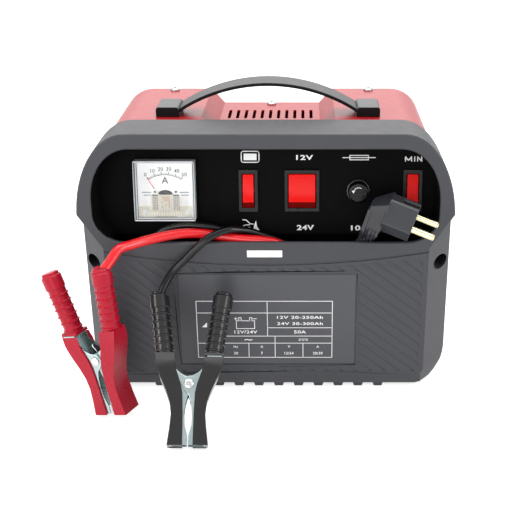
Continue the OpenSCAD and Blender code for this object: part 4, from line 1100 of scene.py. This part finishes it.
@dataclass(frozen=True)
class BinCoil:
    """A flat coil in the bin: it spirals in for half its turns, changes layer and spirals out."""

    across: float
    up: float
    radius: float
    pitch: float
    way: int
    first_y: float
    last_y: float
    turns: float = 4.25
    steps: int = 24

    def points(self) -> list[tuple[float, float, float]]:
        """Returns the coil's centreline in millimetres."""
        made = []
        for i in range(round(self.turns * self.steps) + 1):
            u = i / self.steps
            radius = self.radius - self.pitch * min(u, self.turns - u)
            climb = min(max((u - self.turns / 2 + 0.25) / 0.5, 0), 1)
            x, z = polar(self.across, self.up, radius, math.radians(-90 + self.way * 360 * u))
            made.append((x, self.first_y + (self.last_y - self.first_y) * climb, z))
        return made


@dataclass
class Lead:
    """One lead, in millimetres: its tail from the case, the coil in the bin and the stretch over the lip."""

    name: str
    diameter: float
    finish: Finish
    slot: str
    far_end: str
    stiffness: str
    tail: Sequence[Point]
    coil: BinCoil
    front: Sequence[Point]
    mouth: Point
    way: Point
    inside: float
    fittings: Sequence[str]

    def route(self) -> list[Vector]:
        """Returns the whole centreline in metres, straight for one diameter into its fitting."""
        way = Vector(self.way).normalized()
        end = Vector(self.mouth)
        inside = tuple(end - way * self.inside)
        ends = [tuple(end + way * self.diameter), tuple(end), inside]
        points = [*self.tail, *self.coil.points(), *self.front, *ends]
        return smooth_route(points)

    def build(self) -> Piece:
        line = self.route()
        cord = round_bar(f"{self.name}_cord", line, self.diameter * MM, self.finish)
        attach(cord, Body.HOUSING.value)
        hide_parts(f"{self.name}_lead", f"{self.name}_coil")
        return cord


# ---------------------------------------------------------------- clamps


@dataclass
class BatteryClamp:
    """A battery clamp: two levers with vinyl grips over zinc-plated jaws, a rivet and a torsion spring."""

    colour: str
    vinyl: Finish
    at: Point
    turn: Point
    cable_side: Side
    lever: Body
    turns: int = 3
    wire: float = 1.4
    coil_r: float = 4.2
    coil_pitch: float = 2.0
    rings: int = 76

    def frame(self) -> Matrix:
        """Returns the matrix of the spring's own frame, in millimetres."""
        spot = Matrix.Translation(Vector((self.at[0], self.at[1] + FRONT_Y, self.at[2])))
        turned = Euler([math.radians(a) for a in self.turn], "XYZ").to_matrix().to_4x4()
        mirror = Matrix.Diagonal((-self.cable_side.value, 1, 1, 1))
        return Matrix.Scale(MM, 4) @ spot @ turned @ mirror

    def spring_line(self) -> list[Vector]:
        """Returns the spring's centreline in its own frame, in millimetres: a leg, the coil and a leg."""
        y0 = -self.turns * self.coil_pitch / 2
        sweep = 360 * (self.turns - 1) + 140
        line = [(-19.6, y0, 16), (-12.4, y0, 11), (-6.4, y0, 5.4)]
        for i in range(self.rings + 1):
            x, z = polar(0.0, 0.0, self.coil_r, math.radians(160 - i * sweep / self.rings))
            line.append((x, y0 * (1 - 2 * i / self.rings), z))
        line += [(6.2, -y0, 5.2), (8, -y0 + 0.3, 7.2), (9.2, -y0 + 1.9, 8.4)]
        return [Vector(spot) for spot in line]

    def build(self) -> None:
        """Makes the clamp's pieces."""
        self.dress_levers()
        self.make_spring()

    def dress_levers(self) -> None:
        """Rounds the grips and jaws and gives them vinyl and zinc."""
        for lever in ("cable", "free"):
            softened(f"{self.colour}_{lever}_grip", self.vinyl, Softening(0.15, 1))
            softened(f"{self.colour}_{lever}_jaw", ZincPlate(), Softening(0.15, 1))
        softened(f"{self.colour}_rivet", BrightWire(), Softening(0.25, 2))

    def make_spring(self) -> None:
        """Winds the spring between the two levers."""
        frame = self.frame()
        name = f"{self.colour}_torsion_spring"
        bar = round_bar(name, [frame @ p for p in self.spring_line()], self.wire * MM, BrightWire())
        mesh = evaluated_mesh(bar)
        bpy.data.objects.remove(bar)
        spring = link_object(name, mesh)
        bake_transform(spring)
        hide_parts(f"{self.colour}_spring")
        report(spring)


# ---------------------------------------------------------------- case


@dataclass
class FrontFrame:
    """The moulded front: grained walls with rounded edges, its screws, the label and its printing."""

    label_w: float = 131.5
    label_low: float = 21.0
    label_high: float = 96.6
    label_depth: float = 0.8
    film_t: float = 0.2
    line: float = 0.45
    recess_z: float = 157.0

    def build(self) -> None:
        """Makes the frame's pieces."""
        self.round_frame()
        softened("frame_screws", BlackOxide(), Softening(0.25, 2))
        self.stick_label()
        self.print_table()
        self.stick_blank()

    def round_frame(self) -> None:
        """Rounds the moulding: wide on its outer edges, narrow at ribs and recesses."""
        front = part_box("front_frame")[0].y + 0.0004

        def outer(edge: Edge) -> bool:
            middle = (edge.verts[0].co + edge.verts[1].co) / 2
            if any(v.co.y > front for v in edge.verts):
                return False
            in_opening = abs(middle.x) < 0.1235 and 0.1205 < middle.z < 0.1905
            in_wall = 0.008 < middle.z < 0.1205
            return not in_wall or in_opening

        frame = softened("front_frame", GrainedAbs(), Softening(0.22, 2, 30.0, 1.1, outer))
        self.blacken_recess(frame)

    def blacken_recess(self, frame: Piece) -> None:
        """Paints shade on the walls of the control recess and of the lead bin by colouring them near-black.

        Args:
            frame: the finished moulding.
        """
        middle_z = self.recess_z * MM

        def inner(face: Face) -> bool:
            spot = face.center
            inwards = Vector((-spot.x, 0, middle_z - spot.z)).dot(face.normal) > 0
            within = abs(spot.x) < 0.1245 and 0.006 < spot.z < 0.1955
            lip = spot.z < 0.13 and spot.y < (FRONT_Y + 3.4) * MM
            behind = (FRONT_Y + 0.7) * MM < spot.y < (FRONT_Y + 36) * MM
            return within and behind and inwards and not lip and abs(face.normal.y) < 0.6

        # The inward walls are coloured near-black as painted shade.
        paint_faces(frame, RECESS_PAINTED_SHADE, inner)

    def stick_label(self) -> None:
        """Lays the label's film in its recess."""
        half, margin = self.label_w / 2, 1.0
        film = Artwork(WALL, -self.label_depth + self.film_t)
        film.bar(-half + margin, self.label_low + margin, half - margin, self.label_high - margin)
        film.done("label_film", LabelFilm(), "dark_grey_moulding")

    def print_table(self) -> None:
        """Prints the rating table: a plain grid with a battery symbol and bare ratings."""
        art = Artwork(WALL, -self.label_depth + self.film_t + 0.06, 0.012)
        left, right, top, low = -52.8, 48.2, 74.3, 26.8
        column, inset = -0.4, -34.0
        t = self.line
        art.box(left, low, right, top, t)
        for x, y in ((left, 64.2), (column, 51.9), (inset, 44.9), (left, 38.9)):
            art.bar(x, y, right, y + t)
        uprights = [(column, 44.9, top), (5.1, low, 44.9)]
        uprights += [(x, low, 38.9) for x in (inset, -14.6, 26.0)] + [(inset, 38.9, 44.9)]
        for x, y0, y1 in uprights:
            art.bar(x, y0, x + t, y1)
        self.draw_battery(art, -16.5, 56.2)
        art.text("12V/24V", -16.4, 48.6, 2.6, 17)
        art.text("12V 20-250Ah", 24.0, 60.8, 2.4, 34)
        art.text("24V 30-300Ah", 24.0, 55.6, 2.4, 34)
        art.text("50A", 24.0, 48.6, 2.6, 9)
        ratings = ((-24.2, "Hz", "50"), (-4.7, "A", "7"), (15.7, "V", "12/24"), (37.3, "A", "20/30"))
        for x, unit, value in ratings:
            art.text(unit, x, 36.2, 2.0)
            art.text(value, x, 30.6, 2.2)
        art.text("~", -14.6, 42.0, 1.2, 6)
        art.bar(23.0, 42.4, 30.0, 42.8)
        for x in (23.0, 25.6, 28.2):
            art.bar(x, 41.3, x + 1.6, 41.7)
        art.polygon([(-49.0, 52.6), (-45.2, 52.6), (-45.2, 56.4)])
        art.done("rating_print", WHITE_INK, "white_dial")

    def draw_battery(self, art: Artwork, x: float, y: float) -> None:
        """Draws a plain battery with its poles marked, its middle at x, y."""
        art.box(x - 7.0, y - 5.0, x + 7.0, y + 2.0, 0.5)
        for side in (-1, 1):
            art.box(x + side * 4.0 - 1.1, y + 1.6, x + side * 4.0 + 1.1, y + 4.6, 0.45)
        art.bar(x - 8.4, y + 3.2, x - 5.8, y + 3.7)
        art.bar(x - 7.35, y + 2.15, x - 6.85, y + 4.75)
        art.bar(x + 5.8, y + 3.2, x + 8.4, y + 3.7)

    def stick_blank(self) -> None:
        """Sticks the small blank paper label under the lip."""
        paper = Artwork(WALL, 0.1)
        paper.bar(-14.0, 109.6, 11.4, 115.0)
        paper.done("blank_sticker", STICKER_PAPER, "white_dial")


@dataclass
class ControlPanel:
    """The black panel in the recess and its white printing."""

    lift: float = 0.08
    stroke: float = 0.7

    def build(self) -> None:
        """Makes the panel and its print."""
        softened("control_panel", SatinAbs(), Softening(0.3, 2))
        art = Artwork(PANEL, self.lift, 0.03)
        self.draw_battery_lamp(art, -12.0, 27.4)
        art.text("12V", 27.5, 26.9, 3.7, 12.4)
        art.text("24V", 28.1, -25.3, 3.9, 12.6)
        self.draw_fuse(art, 67.0, 26.8)
        self.write_min(art, 106.4, 25.8)
        art.text("10A", 68.2, -25.6, 3.9, 13.0)
        self.draw_car(art, -12.2, -23.6)
        art.done("panel_print", WHITE_INK, "white_dial")

    def write_min(self, art: Artwork, x: float, y: float) -> None:
        """Writes the current switch's mark in plain strokes, its middle at x, y."""
        letters = (
            [(-5.8, -1.6), (-5.8, 1.6), (-3.6, -1.0), (-1.4, 1.6), (-1.4, -1.6)],
            [(0.9, -1.6), (0.9, 1.6)],
            [(3.0, -1.6), (3.0, 1.6), (5.9, -1.6), (5.9, 1.6)],
        )
        for letter in letters:
            line = [(x + across, y + up) for across, up in letter]
            art.stroke(line, 0.85)
            for spot in (line[0], line[-1]):
                art.disc(*spot, 0.42, sides=10)

    def draw_battery_lamp(self, art: Artwork, x: float, y: float) -> None:
        """Draws the framed battery over the charge switch, its middle at x, y."""
        w, h, r = 6.4, 4.0, 1.3
        right, left, top, low = x + w - r, x - w + r, y + h - r, y - h + r
        corners = ((right, low, -90), (right, top, 0), (left, top, 90), (left, low, 180))
        outline = []
        for cx, cy, start in corners:
            outline += [polar(cx, cy, r, math.radians(start + 30 * step)) for step in range(4)]
        art.stroke([*outline, outline[0]], self.stroke)
        art.bar(x - w + 1.7, y - h + 1.5, x + w - 1.7, y + h - 1.7)

    def draw_fuse(self, art: Artwork, x: float, y: float) -> None:
        """Draws the plain symbol of a fuse, a bar with a line through it, its middle at x, y."""
        art.box(x - 7.0, y - 1.9, x + 7.0, y + 1.9, 0.6)
        art.bar(x - 12.0, y - 0.3, x + 12.0, y + 0.3)

    def draw_car(self, art: Artwork, x: float, y: float) -> None:
        """Draws a car's nose with its bonnet up over the start switch, its middle at x, y."""
        lines = (
            [(-6.2, 4.2), (-3.4, 4.0), (-0.6, 1.2), (2.0, 0.9)],
            [(-6.4, -3.6), (-3.8, -3.6)],
            [(-6.2, -1.2), (-4.6, 0.2), (-0.6, 0.4)],
            [(0.6, -3.6), (3.0, -3.6)],
        )
        for line in lines:
            art.stroke([(x + across, y + up) for across, up in line], self.stroke)
        art.disc(x - 1.6, y - 3.2, 2.0, 1.1)
        front = ((2.0, -2.8), (6.4, -3.9), (4.6, -0.9), (3.8, 3.6), (2.4, 0.2))
        art.polygon([(x + across, y + up) for across, up in front])


@dataclass
class Ammeter:
    """The moving-coil meter: case, dial with its scale, needle, brass movement and clear cover."""

    across: float = -73.4
    up: float = 4.4
    side: float = 44.0
    dial_z: float = 6.3
    lens_in_z: float = 11.5
    pivot_drop: float = 10.5
    scale_r: float = 21.5
    swing: float = 66.0

    def build(self) -> None:
        """Makes the meter's pieces."""
        softened("ammeter_case", SatinAbs(), Softening(0.25, 2))
        self.print_dial()
        self.make_window()
        self.clear_cover()

    def plane(self, lift: float, drop: float = 0.0) -> Matrix:
        """Returns the matrix of the meter's middle, lift above the panel."""
        return PANEL.matrix(self.across, self.up - drop, lift)

    def print_dial(self) -> None:
        """Prints the scale, its numbers and the unit, and rules its divisions."""
        x, y = self.across, self.up - self.pivot_drop
        art = Artwork(PANEL, self.dial_z + 0.06)
        half = math.radians(self.swing) / 2
        arc = [math.pi / 2 + half - 2 * half * i / 30 for i in range(31)]
        art.stroke([polar(x, y, self.scale_r, turn) for turn in arc], 0.36)
        for i in range(6):
            turn = math.pi / 2 + half - 2 * half * i / 5
            art.text(str(10 * i), *polar(x, y, self.scale_r + 4.3, turn), 2.7)
        art.text("A", x, self.up + 7.0, 4.9)
        for side in (-1, 1):
            art.disc(x + side * 7.6, self.up - 1.6, 0.9)
        art.done("dial_print", DIAL_INK, "black_moulding")
        place = self.plane(self.dial_z + 0.05, self.pivot_drop)
        for name, count, out, length, width in (("fine", 26, 0.6, 1.2, 0.24), ("main", 6, 1.1, 2.2, 0.42)):
            ticks = TickArc(count, self.scale_r + out, self.swing, length, width)
            ticks.grow(f"dial_{name}_divisions", DIAL_INK, place, "black_moulding")

    def make_window(self) -> None:
        """Prints what lies under the ribbed window and moulds the ribs over it."""
        x, y = self.across, self.up
        yoke = [(-9.8, -15.4, -5.6, -3.6), (5.6, -15.4, 9.8, -3.6)]
        layers = (
            ("dial_lower_card", CREAM_CARD, "white_dial", 0.07, [(-19.6, -19.6, 19.6, -12.2)]),
            ("movement_frame", YOKE_STEEL, "black_moulding", 0.12, yoke),
            ("movement_card", CREAM_CARD, "white_dial", 0.14, [(-5.6, -15.4, 5.6, -3.6)]),
            ("movement_coil", COIL_LACQUER, "enamelled_copper", 0.2, [(-3.2, -13.2, 3.2, -5.2)]),
        )
        for name, finish, slot, lift, bars in layers:
            card = Artwork(PANEL, self.dial_z + lift)
            for x0, y0, x1, y1 in bars:
                card.bar(x + x0, y + y0, x + x1, y + y1)
            card.done(name, finish, slot)
        arch = Artwork(PANEL, self.dial_z + 0.26)
        turns = [math.radians(12 * i) for i in range(16)]
        arch.polygon([(x + 5.4 * math.cos(a), y - 3.6 + 3.4 * math.sin(a)) for a in turns])
        arch.done("movement_arch", CARD_BLACK, "black_moulding")
        ribs = (
            ("upright", 0.0, 17, 11.8, 9.5),
            ("level", 90.0, 10, 20.4, 9.5),
            ("lower", 0.0, 27, 4.6, 17.0),
        )
        for name, turn, count, length, drop in ribs:
            place = self.plane(self.lens_in_z - 0.7, drop) @ Matrix.Rotation(math.radians(turn), 4, "Z")
            bars = BarRow(count, 1.22, length, 0.5, 0.3)
            # The ribs carry a painted highlight in half-opaque cream.
            bars.grow(f"window_{name}_ribs", RibHighlightStyrene(), place, "clear_lens")
        screws = Artwork(PANEL, self.dial_z + 0.2)
        small = Artwork(PANEL, self.dial_z + 0.06)
        for side in (-1, 1):
            screws.disc(x + side * 15.2, y - 16.8, 2.0)
            for line in (0, 1):
                low = y - 2.4 - 2.0 * line
                small.bar(x + side * 13.6 - 3.4 + line, low, x + side * 13.6 + 3.2, y - 1.6 - 2.0 * line)
        screws.done("dial_screws", ZincPlate("zinc meter screws", "#d9dcda", 0.4), "zinc_screws")
        small.done("dial_small_bars", PrintingInk("grey printing ink", "#8c9093"), "black_moulding")

    def clear_cover(self) -> None:
        """Dresses the clear cover: see-through in front, with a painted highlight in pale silvery grey at its
        edges.
        """
        cover = softened("ammeter_lens", ClearStyrene(), Softening(0.5, 2))
        out = PANEL.right.cross(PANEL.up)
        middle = self.plane(0.0).translation

        def at_edge(face: Face) -> bool:
            off = face.center - middle
            rim = max(abs(off.dot(PANEL.right)), abs(off.dot(PANEL.up))) > (self.side / 2 - 1.9) * MM
            return rim or abs(face.normal.dot(out)) < 0.6

        # Rim and side faces get a pale near-opaque grey: painted highlight.
        paint_faces(cover, LensEdgeHighlight(), at_edge)


@dataclass
class Switches:
    """The three rocker switches."""

    names: Sequence[str] = ("mode", "voltage", "current")

    def build(self) -> None:
        """Rounds each switch's body and rocker, and paints shade in darker red on the rocker's downward
        faces.
        """
        for name in self.names:
            softened(f"{name}_switch_body", GlossNylon("switch bezel nylon", "#1a1a1c"), Softening(0.35, 2))
            rocker = softened(f"{name}_switch_rocker", RockerRed(), Softening(0.4, 3))
            # Faces turned downwards get a darker red: painted shade.
            paint_faces(rocker, ROCKER_SHADE, lambda face: face.normal.dot(PANEL.up) < -0.25)


@dataclass
class FuseHolder:
    """The fuse holder with its turning cap."""

    across: float = 66.6
    up: float = 2.4
    face_z: float = 8.9
    arrow_r: float = 3.9

    def build(self) -> None:
        """Rounds the holder and the cap, and prints the cap's turning arrow."""
        collar = GlossNylon("gloss black collar", "#1c1c1e", 0.2, specular=0.7)
        cap = GlossNylon("polished black nylon", "#040405", 0.16, specular=0.3)
        softened("fuse_holder", collar, Softening(0.35, 3))
        softened("fuse_knob", cap, Softening(0.35, 3))
        art = Artwork(PANEL, self.face_z)
        arc = [polar(self.across, self.up, self.arrow_r, math.radians(a)) for a in range(60, 161, 10)]
        art.stroke(arc, 0.6)
        x, y = arc[-1]
        art.polygon([(x - 1.3, y + 0.5), (x - 0.3, y - 1.6), (x + 1.1, y + 0.2)])
        art.done("fuse_cap_print", WHITE_INK, "white_dial", body_of_node("fuse_knob"))


@dataclass
class Cover:
    """The folded steel cover, the base, the rear panel, their screws and the rear feet."""

    def build(self) -> None:
        """Dresses the case's steel; slots, holes and screws' rims stay crisp."""
        long_edges = Softening(0.03, 1, 34.0, 0.3, lambda edge: edge.calc_length() > 0.02)
        softened("sheet_cover", PowderCoat(), long_edges)
        softened("rear_panel", PAINTED_REAR, Softening(0.2, 2))
        softened("base_plate", ZincPlate(), Softening(0.15, 1))
        softened("cover_screws", ZincPlate("zinc screw heads", "#d6d8d6", 0.3), Softening(0.25, 2))
        softened("rear_feet", BlackRubber(), Softening(0.6, 3))


@dataclass
class Handle:
    """The carrying strap between its two end blocks."""

    def build(self) -> None:
        """Dresses the strap, its blocks and screws; the sides and undersides of strap and blocks get painted
        shade in near-black.
        """
        strap = softened("handle_strap", StrapVinyl(), Softening(0.5, 3))
        finish = SatinAbs("satin block ABS", "#222326", 0.32, specular=0.4)
        blocks = softened("handle_blocks", finish, Softening(0.4, 3))
        for piece in (strap, blocks):
            # Faces that do not face up are painted near-black as shade.
            paint_faces(piece, STRAP_PAINTED_SHADE, lambda face: face.normal.z < 0.35)
        softened("handle_screws", ZincPlate(), Softening(0.2, 2))


@dataclass
class Insides:
    """The transformer, its windings, the rectifier and the wiring."""

    limb: float = 19.0
    primary_wire: float = 1.1
    secondary_wire: float = 2.6

    def build(self) -> None:
        """Winds the coils and dresses the rest."""
        for node, finish in NODE_FINISHES.items():
            dress_node(node, finish)
        softened("transformer_bracket", ZincPlate(), Softening(0.3, 2))
        softened("rectifier_heatsink", ExtrudedAluminium(), Softening(0.25, 2))
        softened("lead_grommets", BlackRubber(), Softening(0.5, 2))
        softened("mains_strain_relief", BlackRubber(), Softening(0.3, 2))
        self.wind("primary_winding", self.primary_wire)
        self.wind("secondary_winding", self.secondary_wire)

    def wind(self, node: str, wire: float) -> None:
        """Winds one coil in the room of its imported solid.

        Args:
            node: packed winding that the turns stand for.
            wire: diameter of the wire in millimetres.
        """
        low, high = (Vector(corner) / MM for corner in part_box(node))
        size = high - low
        middle = (low + high) / 2
        turns = int((size.z - 0.1) / wire)
        start = middle.z - (turns - 1) * wire / 2
        half = (size.x - 2 * self.limb) / 2
        place = Matrix.Scale(MM, 4) @ Matrix.Translation((middle.x, middle.y, start))
        coil = WireTurns(turns, wire, size.x - wire, size.y - wire, max(half - wire / 2, 1.0))
        coil.grow(f"{node}_turns", EnamelledCopper(), place, slot_of_node(node), node)


@dataclass
class MainsPlug:
    """The right-angled mains plug with two pins and side earth contacts."""

    def build(self) -> None:
        """Dresses the plug."""
        softened("plug_body", PlugVinyl(), Softening(0.5, 3))
        softened("plug_pins", NickelBrass(), Softening(0.2, 2))
        softened("plug_earth_clips", BrightWire("nickel earth clips", "#c9cacb"), Softening(0.1, 1))


# ---------------------------------------------------------------- studio


@dataclass
class Studio:
    """Pale floor, white surroundings, soft boxes and the camera."""

    eye: Point = (0.0285, -0.719, 0.387)
    pitch_deg: float = 23.3
    lens: float = 68.3
    shift: float = -0.1
    floor_half: float = 6.0

    def build(self) -> None:
        """Sets the stage."""
        self.place_camera()
        self.lay_floor()
        self.light_world()
        self.hang_box("overhead", (0.0, 0.1, 1.5), (0.0, 0.0, 0.1), 1.6, 1.2, 20.0)
        self.hang_box("behind", (0.0, 1.5, 0.95), (0.0, 0.0, 0.15), 2.4, 1.0, 10.0)
        self.hang_box("front", (-0.3, -1.6, 0.55), (0.0, 0.0, 0.1), 1.0, 0.7, 8.0)
        self.hang_box("left", (-1.3, -0.9, 0.6), (0.0, 0.0, 0.1), 0.35, 1.4, 11.0)
        self.hang_box("right", (1.3, -0.8, 0.6), (0.0, 0.0, 0.1), 0.35, 1.4, 9.0)

    def place_camera(self) -> None:
        """Makes the camera and makes it the scene's own."""
        data = bpy.data.cameras.new("camera")
        data.lens = self.lens
        data.sensor_width = 36.0
        data.shift_x = self.shift
        data.clip_start = 0.05
        camera = link_object("camera", data)
        camera.location = self.eye
        camera.rotation_euler = (math.radians(90 - self.pitch_deg), 0, 0)
        bpy.context.scene.camera = camera

    def lay_floor(self) -> None:
        """Lays a plain floor that keeps the shadow and looks white to the eye and in reflections."""
        h = self.floor_half
        mesh = bpy.data.meshes.new("floor")
        mesh.from_pydata([(-h, -h, 0), (h, -h, 0), (h, h, 0), (-h, h, 0)], [], [(0, 1, 2, 3)])
        made = bpy.data.materials.new("pale floor")
        made.use_nodes = True
        tree = made.node_tree
        tree.nodes.clear()
        seen = self.seen_rays(tree)
        plain = add(tree, "ShaderNodeBsdfDiffuse", {"Color": (0.8, 0.8, 0.8, 1.0)})
        strength = number(tree, "MULTIPLY", seen, 0.7)
        glow = add(tree, "ShaderNodeEmission", {"Color": (1, 1, 1, 1), "Strength": strength})
        both = add(tree, "ShaderNodeAddShader", {0: plain.outputs[0], 1: glow.outputs[0]})
        add(tree, "ShaderNodeOutputMaterial", {"Surface": both.outputs[0]})
        mesh.materials.append(made)
        link_object("floor", mesh)

    def seen_rays(self, tree: Tree) -> Socket:
        """Returns 1 for rays that an eye, a mirror or a window would follow."""
        path = add(tree, "ShaderNodeLightPath")
        either = number(tree, "MAXIMUM", path.outputs["Is Camera Ray"], path.outputs["Is Glossy Ray"])
        return number(tree, "MAXIMUM", either, path.outputs["Is Transmission Ray"])

    def light_world(self) -> None:
        """Fills the surroundings: white where they are seen, softer as a light."""
        world = bpy.data.worlds.new("surroundings")
        world.use_nodes = True
        tree = world.node_tree
        ground = tree.nodes["Background"]
        seen = self.seen_rays(tree)
        strength = number(tree, "MULTIPLY_ADD", seen, 0.65, 0.35)
        tree.links.new(strength, ground.inputs["Strength"])
        ground.inputs["Color"].default_value = (1, 1, 1, 1)
        bpy.context.scene.world = world
        bpy.context.scene.view_settings.view_transform = "Standard"

    def hang_box(self, name: str, at: Point, aim: Point, width: float, height: float, power: float) -> None:
        """Hangs one soft box.

        Args:
            name: its name.
            at: its middle in metres.
            aim: the point that it faces.
            width: its width in metres.
            height: its height in metres.
            power: in watts.
        """
        data = bpy.data.lights.new(name, "AREA")
        data.shape = "RECTANGLE"
        data.size = width
        data.size_y = height
        data.energy = power
        box = link_object(name, data)
        box.location = at
        box.rotation_euler = (Vector(aim) - Vector(at)).to_track_quat("-Z", "Y").to_euler()


# ---------------------------------------------------------------- assembly

RED_SHEATH = CableSheath("red cable sheath", "#e0141d", 0.22)
BLACK_SHEATH = CableSheath("black cable sheath", "#0b0b0c", 0.2, specular=0.3)
MAINS_SHEATH = CableSheath("mains cable sheath", "#0f0f10", 0.28, specular=0.35)

RED_TAIL = [
    (-88, 34, 20), (-88, 29, 20), (-86.5, 22.5, 19.5), (-81, 16.5, 18.4), (-73, 14.7, 17), (-58, 14.7, 14.8),
    (-42, 14.7, 13), (-30, 14.7, 12.4), (-24, 14.7, 12.4),
]
RED_FRONT = [
    (25.3, 7.1, 61.7), (25.3, 7.1, 67), (25.2, 7.1, 76), (24.8, 7, 90), (22, 6.8, 103), (16, 6.9, 112.4),
    (7.5, 7, 117.6), (-4.5, 7, 119.9), (-16, 7, 120.7), (-27, 7.3, 122), (-38, 7.5, 123.8), (-49, 6.4, 125.6),
    (-60, 4.2, 126.5), (-70, 0.4, 126.4), (-79, -4, 126), (-87, -9, 125.6), (-94.5, -14.6, 125.2),
    (-101.4, -20.2, 124.6),
]
BLACK_TAIL = [
    (103, 34, 17), (103, 29.5, 17), (102, 23.5, 16.3), (98, 16, 14.8), (93, 10, 13), (87.5, 6.8, 12),
    (81, 6.2, 11.65), (75.5, 6.2, 11.65),
]
BLACK_FRONT = [
    (33, 12.3, 54.15), (33, 12.3, 60), (33, 12.4, 70), (32.9, 12.5, 82), (31.6, 13, 94.5),
    (27.4, 14.2, 104.2), (19, 15.4, 111.2), (8.6, 15.6, 116), (-4, 14.2, 121.2), (-15, 11.4, 125.9),
    (-20, 8.6, 127.7), (-26.5, 5, 129), (-34, 1.6, 128), (-42.5, -2.4, 124.5), (-50.3, -4.6, 118),
    (-59, -6.2, 109.4), (-66.6, -8.4, 102.4),
]
MAINS_TAIL = [
    (88, 29.2, 30), (82, 29.2, 30), (66, 29.2, 26.8), (48, 29.2, 20.6), (30, 29.2, 15.6), (12, 29.2, 12.6),
    (-8, 29.2, 11.9), (-26, 29.2, 11.9), (-34, 29.2, 11.9), (-40, 29.2, 11.9),
]
MAINS_FRONT = [
    (-88, 22.6, 59.9), (-88, 22.6, 65), (-88.4, 21.6, 76), (-89, 18.6, 88), (-89.4, 15.6, 101),
    (-86.8, 14.2, 111.4), (-80.8, 14, 120.2), (-73.3, 14, 125.6), (-60, 14.2, 128.6), (-47, 15, 127.6),
    (-36, 16.4, 125), (-26.5, 18.2, 119.6), (-17.5, 20, 112.4), (-8.5, 21.4, 105), (2, 21.8, 97.8),
    (12.5, 21.8, 92.2), (23, 21.6, 88.6), (33.5, 21, 87), (43.5, 20, 87.8), (51.6, 18.6, 90.4),
    (57.6, 16.6, 94.6),
]
RED_MOUTH = (-112.343, -32.815, 111.501)
BLACK_MOUTH = (-76.152, -19.536, 86.119)
PLUG_MOUTH = (62.992, 14.568, 104.101)
RED_WAY = (0.5, 0.6, 0.62)
BLACK_WAY = (0.35, 0.5, 0.79)
PLUG_WAY = (-0.454, 0.236, -0.859)
MOUTH_CUT = 4.1


def from_mouth(point: Point, way: Point) -> tuple[float, float, float]:
    """Returns where a lead leaves its grip, MOUTH_CUT from the point that its way out passes through."""
    return tuple(Vector(point) + Vector(way).normalized() * MOUTH_CUT)


def build_leads() -> None:
    """Lays the three leads; the fittings at their ends are there already."""
    red = Lead(
        "red", 7.0, RED_SHEATH, "red_cable_sheath", "connector", "limp", RED_TAIL,
        BinCoil(-17, 54.7, 42.3, 7.6, 1, 14.7, 7.1), RED_FRONT, from_mouth(RED_MOUTH, RED_WAY), RED_WAY,
        3.0, ["red_cable_grip_finished"],
    )
    black = Lead(
        "black", 5.5, BLACK_SHEATH, "black_cable_sheath", "connector", "limp", BLACK_TAIL,
        BinCoil(70, 48.65, 37, 6.1, -1, 6.2, 12.3), BLACK_FRONT, from_mouth(BLACK_MOUTH, BLACK_WAY),
        BLACK_WAY, 3.0, ["black_cable_grip_finished"],
    )
    mains = Lead(
        "mains", 6.0, MAINS_SHEATH, "mains_cable_sheath", "plug", "medium", MAINS_TAIL,
        BinCoil(-46, 53.9, 42, 6.6, -1, 29.2, 22.6), MAINS_FRONT, PLUG_MOUTH, PLUG_WAY,
        6.0, ["plug_body_finished", "plug_pins_finished", "plug_earth_clips_finished"],
    )
    for lead in (red, black, mains):
        lead.build()


def build_clamps() -> None:
    """Makes both battery clamps."""
    red = ClampVinyl("red clamp vinyl", "#ac0526", specular=0.26)
    black = ClampVinyl("black clamp vinyl", "#0d0d0f", 0.24, 2.4, 0.012, 0.05)
    red_at, red_turn = (-118.3, -31.9, 45.2), (-1.5, -15, -24.5)
    black_at, black_turn = (-52.7, -59.6, 38.4), (-42.2, 3.7, 5.2)
    BatteryClamp("red", red, red_at, red_turn, Side.RIGHT, Body.RED_LEVER).build()
    BatteryClamp("black", black, black_at, black_turn, Side.LEFT, Body.BLACK_LEVER).build()


def main() -> None:
    """Builds the charger and its stage, in order."""
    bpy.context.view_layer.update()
    Studio().build()
    MainsPlug().build()
    build_clamps()
    build_leads()
    front = (FrontFrame(), ControlPanel(), Ammeter(), Switches(), FuseHolder())
    for assembly in (*front, Cover(), Handle(), Insides()):
        assembly.build()
        LOG.info("%s done", type(assembly).__name__)


if __name__ == "__main__":
    logging.basicConfig(level=logging.INFO, format="%(name)s: %(message)s")
    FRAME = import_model()
    main()
